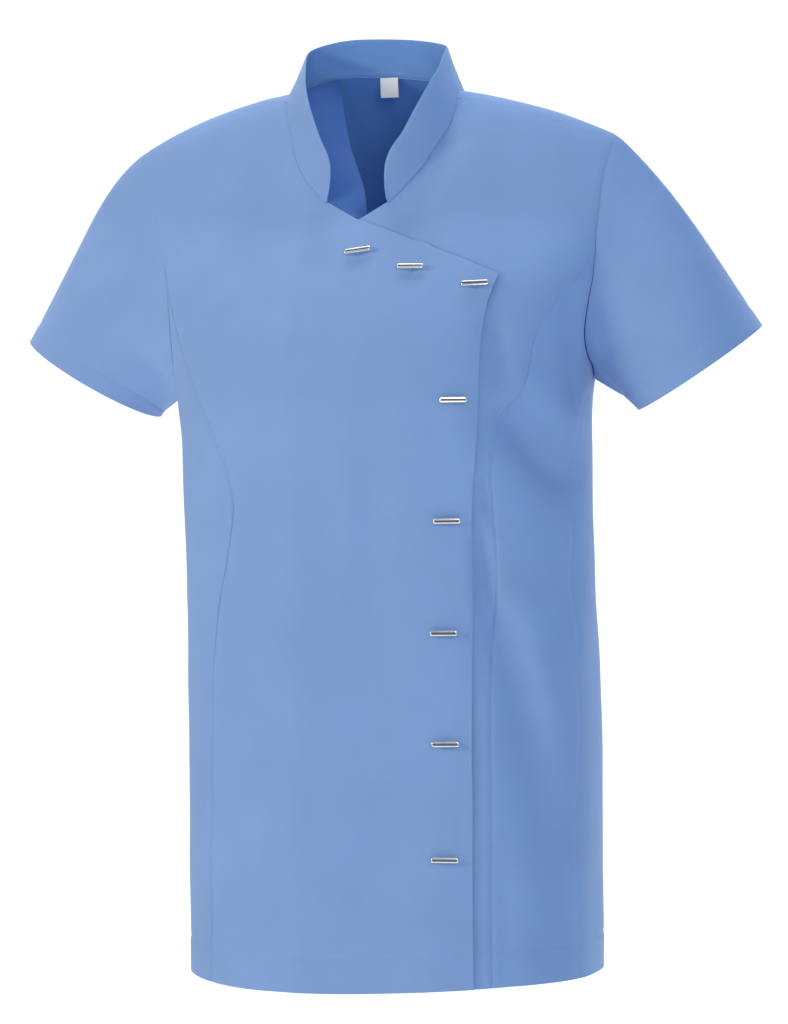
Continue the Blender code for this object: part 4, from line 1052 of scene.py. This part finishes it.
right, _ = cloth_points(-1, finer(neck_front(-1), [], 0)[::-1], over=True)
left, _ = cloth_points(-1, finer(neck_front(1), [], 0))
rear, _ = cloth_points(1, finer(neck_back(), [], 0))
seam = joined(right, rear, left)
evenly = FINE * FINE // 4
along = smoothed(np.gradient(seam, axis=0), 3 * evenly)
run = lengths_along(seam)
edge_share = run / run[-1]
edge = [hermite(COLLAR_EDGE["share"], COLLAR_EDGE[name], edge_share)
        for name in ("across", "depth", "height")]
edge = np.stack(edge, axis=1)
edge[2:-2] = (edge[:-4] + 2 * edge[1:-3] + 3 * edge[2:-2] + 2 * edge[3:-1] + edge[4:]) / 9
rise = edge - seam
height = np.linalg.norm(rise, axis=1)
up = smoothed(rise / height[:, None], 2 * evenly)
out_way = smoothed(np.cross(along, up), 5 * evenly)
reach = np.linspace(1, 0, COLLAR_ROWS)[:, None]
lift = reach * (height + COLLAR_UNDER) - COLLAR_UNDER
outer = seam + rise * np.maximum(lift / height, 0)[..., None] + up * np.minimum(lift, 0)[..., None]
share = np.clip(lift / height, 0, 1)
top_roll = -TOP_ROLL * bell((1 - share) * height, TOP_ROLL_HALF)
rear_share = bell(edge_share - 0.5, REAR_HALF)
belly = BELLY_RISE * np.sin(math.pi * share) * np.sin(run * 41.0 + 0.6)
belly = belly + RIPPLE_RISE * np.sin(run * 113.0) * share
crinkle = np.sin(run * 150.0 + 5 * share) + 0.8 * np.sin(run * 390.0 - 9 * share + 1.1)
gathered = bell(share - CRINKLE_BAND[0], CRINKLE_BAND[1])
belly = belly + CRINKLE_RISE * rear_share * gathered * crinkle
seam_ridge = RIDGE_RISE * bell(share * height - RIDGE_UP, RIDGE_HALF)
outer = outer + out_way * (COLLAR_PROUD + top_roll + belly + seam_ridge)[..., None]
# The collar's inner face takes the bluer twill as painted shade; its outer face takes the plain
# twill.
cloth_collar = shell("cloth_collar", outer, np.broadcast_to(out_way, outer.shape),
                     COLLAR_CLOTH + 2 * top_roll + seam_ridge, painted_shade_collar, blue_twill)
as_sheet(cloth_collar, "collar")


# ---------------------------------------------------------------- facing
# The facing of the right front: a strip of the same twill that hangs inside the neck opening
# from the neck seam, with a straight folded edge. Its much darker blue is painted shade.
FACING_INSIDE = 0.0016       # from the front's outer face to the facing
FACING_BACK_CELLS = 2        # cells of the back neck seam that the facing reaches over
FACING_START = -0.003        # its lowest point on the V, across
FACING_THICKNESS = 0.0010
FACING_COLUMNS = 14
FACING_EDGE = table(
    "across depth height",
    (0.0055, -0.047, -0.112), (0.0035, -0.044, -0.093), (-0.0215, -0.011, -0.042),
    (-0.0443, 0.029, 0.018),
)
# The same twill in a much darker blue: painted shade inside the neck opening.
painted_shade_facing = twill("painted_shade_facing", (0.042, 0.125, 0.400), 0.88)

end = rows_of(NECKLINE[-1])[-1] * [-1, 1]
low = end + (FACING_START / end[0] - 1) * (end - [0.0, NECK_CENTRE_HEIGHT])
front = joined(on_side(-1, np.array([low, end]), V_CELLS), neck_front(-1)[::-1])
right, right_out = cloth_points(-1, finer(front, [V_CELLS], 0), over=True)
rear, rear_out = cloth_points(1, finer(neck_back(), [], 0))
reach = FACING_BACK_CELLS * FINE + 1
seam, outward = joined(right, rear[:reach]), joined(right_out, rear_out[:reach])
edge = smooth_run(np.stack(list(FACING_EDGE.values()), axis=1), len(seam) - 1)
hung = seam - outward * FACING_INSIDE
outer = hung + np.linspace(0, 1, FACING_COLUMNS)[:, None, None] * (edge - hung)
way = unit(np.cross(np.gradient(outer, axis=0), np.gradient(outer, axis=1)))
facing_strip = shell("facing_strip", outer + way * FACING_THICKNESS, way, FACING_THICKNESS,
                     painted_shade_facing)
as_sheet(facing_strip, "facing_right")


# ---------------------------------------------------------------- size label
# A small folded loop of white woven satin, left blank, caught in the neck seam at the centre
# back and hanging down inside.
LABEL_ACROSS = 0.0
LABEL_TOP = 0.0195
LABEL_WIDTH = 0.0160
LABEL_DROP = 0.0170
LABEL_STANDOFF = 0.0032   # from the back's inner face
LABEL_TILT = 0.10         # how far its lower end leans in, of its drop
LABEL_SAG = 0.0006        # how far its middle bows, and its lower corners curl
LABEL_CURL = 0.0004
LABEL_THIN = 0.0005       # its two layers at the ends, and the air in the loop between them
LABEL_LOOP = 0.0006
LABEL_ROWS, LABEL_COLUMNS = 19, 17

label_satin, tree, skin = new_finish("label_satin", {"Roughness": 0.42, "Sheen Weight": 0.15})
ribs = add(tree, "ShaderNodeTexWave", {"Scale": 900.0, "Distortion": 0.4}, bands_direction="Z")
tone = ramp_between(tree, (0.80, 0.80, 0.82), (0.90, 0.90, 0.91))
bump = add(tree, "ShaderNodeBump", {"Strength": 0.3, "Distance": 0.0001})
wire(tree,
     (add(tree, "ShaderNodeTexCoord"), "Object", ribs, "Vector"),
     (ribs, "Fac", tone, "Fac"), (tone, "Color", skin, "Base Color"),
     (ribs, "Fac", bump, "Height"), (bump, "Normal", skin, "Normal"))

top, outward = cloth_points(1, place(1, LABEL_ACROSS, LABEL_TOP))
hang_from = top - outward * CLOTH - np.array([0, LABEL_STANDOFF, 0])
side_share = np.linspace(-0.5, 0.5, LABEL_COLUMNS)[None, :]
down_share = np.linspace(0, 1, LABEL_ROWS)[:, None]
sag = LABEL_SAG * np.sin(math.pi * down_share) + LABEL_CURL * (2 * side_share) ** 2 * down_share
outer = np.stack(np.broadcast_arrays(
    hang_from[0] + side_share * LABEL_WIDTH,
    hang_from[1] - sag + down_share * LABEL_DROP * LABEL_TILT,
    hang_from[2] - down_share * LABEL_DROP), axis=-1)
front_way = np.broadcast_to(np.array([0.0, -1.0, 0.0]), outer.shape)
thickness = LABEL_THIN + LABEL_LOOP * np.sin(math.pi * down_share) ** 0.5
size_loop = shell("size_loop", outer, front_way, thickness, label_satin)
as_sheet(size_loop, "size_label")


# ---------------------------------------------------------------- buttons
# Eight bar buttons: a polished metal frame round a narrow slot, painted dark as shade, held off
# the cloth by a wrapped thread shank that comes up through the right front.
BUTTON_STANDOFF = 0.0030  # from the cloth to the back of the bar
SHANK_TURNS = 6
SHANK_START = 0.0002      # clear of the bar's back
COIL = (0.0013, 0.0034, 0.00036)  # half sizes of the first coil
COIL_SHRINK = 0.0003      # how much shorter each coil is than the one before
SLOT_RINGS = 2            # rings at the front that line the slot, painted dark as shade
BUTTONS = table(
    "across height tilt",
    (0.0084, -0.1402, 8.0), (0.0573, -0.1558, -1.0), (0.1128, -0.1706, 2.0), (0.0995, -0.2641, 0.0),
    (0.0896, -0.3637, 0.0), (0.0849, -0.4581, 0.0), (0.0861, -0.5503, 0.0), (0.0849, -0.6463, -1.0),
)
BAR_RINGS = table(
    "half_length half_height radius depth",
    (0.0104, 0.0014, 0.0012, 0.0), (0.0114, 0.00215, 0.0018, 0.0003),
    (0.0116, 0.00235, 0.002, 0.0008), (0.0116, 0.00235, 0.002, 0.0018),
    (0.0114, 0.00215, 0.0018, 0.0023), (0.0109, 0.0016, 0.0013, 0.0026),
    (0.0103, 0.0009, 0.0007, 0.0025), (0.0101, 0.0007, 0.0005, 0.0022),
    (0.01, 0.0006, 0.0004, 0.0016),
)


def plain_finish(name, colour, roughness, metallic=0.0):
    """A smooth finish with a faint grain in its tone and its gloss."""
    finish, tree, skin = new_finish(name, {"Metallic": metallic})
    grain = add(tree, "ShaderNodeTexNoise", {"Scale": 420.0})
    tone = ramp_between(tree, [c * 0.9 for c in colour], colour)
    rough = add(tree, "ShaderNodeMapRange", {"To Min": roughness * 0.8, "To Max": roughness * 1.25})
    wire(tree,
         (add(tree, "ShaderNodeTexCoord"), "Object", grain, "Vector"),
         (grain, "Fac", tone, "Fac"), (grain, "Fac", rough, "Value"),
         (tone, "Color", skin, "Base Color"), (rough, "Result", skin, "Roughness"))
    return finish


bar_metal = plain_finish("bar_metal", (0.86, 0.85, 0.84), 0.16, 1.0)
# The slot's walls and floor get a dark brownish colour: painted shade in the recess.
slot_painted_shade = plain_finish("slot_painted_shade", (0.150, 0.125, 0.115), 0.5)
shank_thread = plain_finish("shank_thread", (0.20, 0.33, 0.62), 0.7)


def rounded_ring(half_length, half_height, radius, depth, steps=4):
    """Points round a rounded oblong at one depth, to the front of the bar's back."""
    ring = []
    for corner, (right, up) in enumerate(((1, 1), (-1, 1), (-1, -1), (1, -1))):
        for step in range(steps + 1):
            angle = math.pi / 2 * (corner + step / steps)
            ring.append((right * (half_length - radius) + radius * math.cos(angle), -depth,
                         up * (half_height - radius) + radius * math.sin(angle)))
    return ring


def bar_button(name, matrix):
    """A bar with a slot in its face, and the coils of its thread shank behind it."""
    body = bmesh.new()
    rings = [[body.verts.new(matrix @ Vector(p)) for p in rounded_ring(*row)]
             for row in zip(*BAR_RINGS.values())]
    for number, (low, high) in enumerate(zip(rings, rings[1:])):
        for i in range(len(low)):
            j = (i + 1) % len(low)
            face = body.faces.new((low[i], low[j], high[j], high[i]))
            face.material_index = 1 if number >= len(rings) - SLOT_RINGS else 0
    body.faces.new(rings[0][::-1])
    floor = body.faces.new(rings[-1])
    floor.material_index = 1
    for turn in range(SHANK_TURNS):
        lift = SHANK_START + (BUTTON_STANDOFF - SHANK_START) * (turn + 0.5) / SHANK_TURNS
        tall = COIL[1] - COIL_SHRINK * turn
        at = matrix @ Matrix.Translation((0, lift, 0)) @ Matrix.Rotation(math.pi / 2, 4, "X")
        coil = bmesh.ops.create_uvsphere(body, u_segments=12, v_segments=6, radius=1.0,
                                         matrix=at @ Matrix.Diagonal((COIL[0], tall, COIL[2], 1)))
        for vert in coil["verts"]:
            for face in vert.link_faces:
                face.material_index = 2
    bmesh.ops.recalc_face_normals(body, faces=body.faces)
    mesh = bpy.data.meshes.new(name)
    body.to_mesh(mesh)
    body.free()
    for finish in (bar_metal, slot_painted_shade, shank_thread):
        mesh.materials.append(finish)
    mesh.shade_smooth()
    mesh.set_sharp_from_angle(angle=math.radians(40))
    return put(name, mesh)


for number, (across, height, tilt) in enumerate(zip(*BUTTONS.values()), 1):
    point, outward = cloth_points(-1, place(-1, across, height), over=True)
    forward = -Vector(outward)
    right = forward.cross(Vector((0, 0, 1))).normalized()
    up = right.cross(forward)
    way = Matrix((right, forward, up)).transposed() @ Matrix.Rotation(-math.radians(tilt), 3, "Y")
    at = Vector(point) + Vector(outward) * BUTTON_STANDOFF
    piece = bar_button(f"bar_button_{number}", Matrix.Translation(at) @ way.to_4x4())
    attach(piece, "root")
    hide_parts(f"button_{number}")


# ---------------------------------------------------------------- sewing
# Lockstitches in matching thread along the hems and the cuffs, each a short rounded loop that
# lies in the cloth's groove. A net of nodes lays them along the sewing lines.
STITCH_LENGTH = 0.0022
STITCH_PITCH = 0.0029
STITCH_THICKNESS = 0.00034
sewing_thread = plain_finish("sewing_thread", (0.225, 0.375, 0.680), 0.65)

# A tree that sets a stitch at even steps along each sewing line.
lay_stitches = bpy.data.node_groups.new("lay_stitches", "GeometryNodeTree")
for way, title, kind in (
        ("INPUT", "Geometry", "Geometry"), ("INPUT", "Thread", "Material"),
        ("OUTPUT", "Geometry", "Geometry")):
    lay_stitches.interface.new_socket(title, in_out=way, socket_type="NodeSocket" + kind)
given, made = (add(lay_stitches, kind) for kind in ("NodeGroupInput", "NodeGroupOutput"))
steps = add(lay_stitches, "GeometryNodeCurveToPoints", {"Length": STITCH_PITCH}, mode="LENGTH")
bead = add(lay_stitches, "GeometryNodeMeshIcoSphere", {"Radius": 0.5, "Subdivisions": 1})
laid = add(lay_stitches, "GeometryNodeInstanceOnPoints",
           {"Scale": (STITCH_THICKNESS, STITCH_THICKNESS, STITCH_LENGTH)})
real = add(lay_stitches, "GeometryNodeRealizeInstances")
dress = add(lay_stitches, "GeometryNodeSetMaterial")
wire(lay_stitches,
     (given, "Geometry", steps, "Curve"),
     (steps, "Points", laid, "Points"), (steps, "Rotation", laid, "Rotation"),
     (bead, "Mesh", laid, "Instance"), (laid, "Instances", real, "Geometry"),
     (real, "Geometry", dress, "Geometry"), (given, "Thread", dress, "Material"),
     (dress, "Geometry", made, "Geometry"))
thread_socket = lay_stitches.interface.items_tree["Thread"].identifier


def sewn(name, lines):
    """Stitches along lines of points, as one plain mesh."""
    curve = bpy.data.curves.new(name + "_lines", "CURVE")
    curve.dimensions = "3D"
    for line in lines:
        spline = curve.splines.new("POLY")
        spline.points.add(len(line) - 1)
        for point, co in zip(spline.points, line):
            point.co = (*co, 1)
    guide = put(name + "_lines", curve)
    lay = guide.modifiers.new("lay", "NODES")
    lay.node_group = lay_stitches
    lay[thread_socket] = sewing_thread
    bpy.context.view_layer.update()
    graph = bpy.context.evaluated_depsgraph_get()
    mesh = bpy.data.meshes.new_from_object(guide.evaluated_get(graph))
    bpy.data.objects.remove(guide, do_unlink=True)
    mesh.name = name
    piece = put(name, mesh)
    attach(piece, "root")


def hem_line(name, depth, closed=False):
    """The line on a shell's outer face that lies this depth up from its last row."""
    net = outer_nets[name][::-1]
    run = lengths_along(net)
    line = np.array([[np.interp(depth, run[:, j], net[:, j, k]) for k in range(3)]
                     for j in range(net.shape[1])])
    return np.vstack([line, line[:1]]) if closed else line


sewn("hem_stitches", [hem_line("cloth_" + word, HEM_DEPTH) for word in (
    "front_right", "front_left", "side_front_right", "side_front_left", "back")])
sewn("cuff_stitches", [hem_line("cloth_sleeve_" + word, CUFF_DEPTH, closed=True)
                       for word in ("right", "left")])
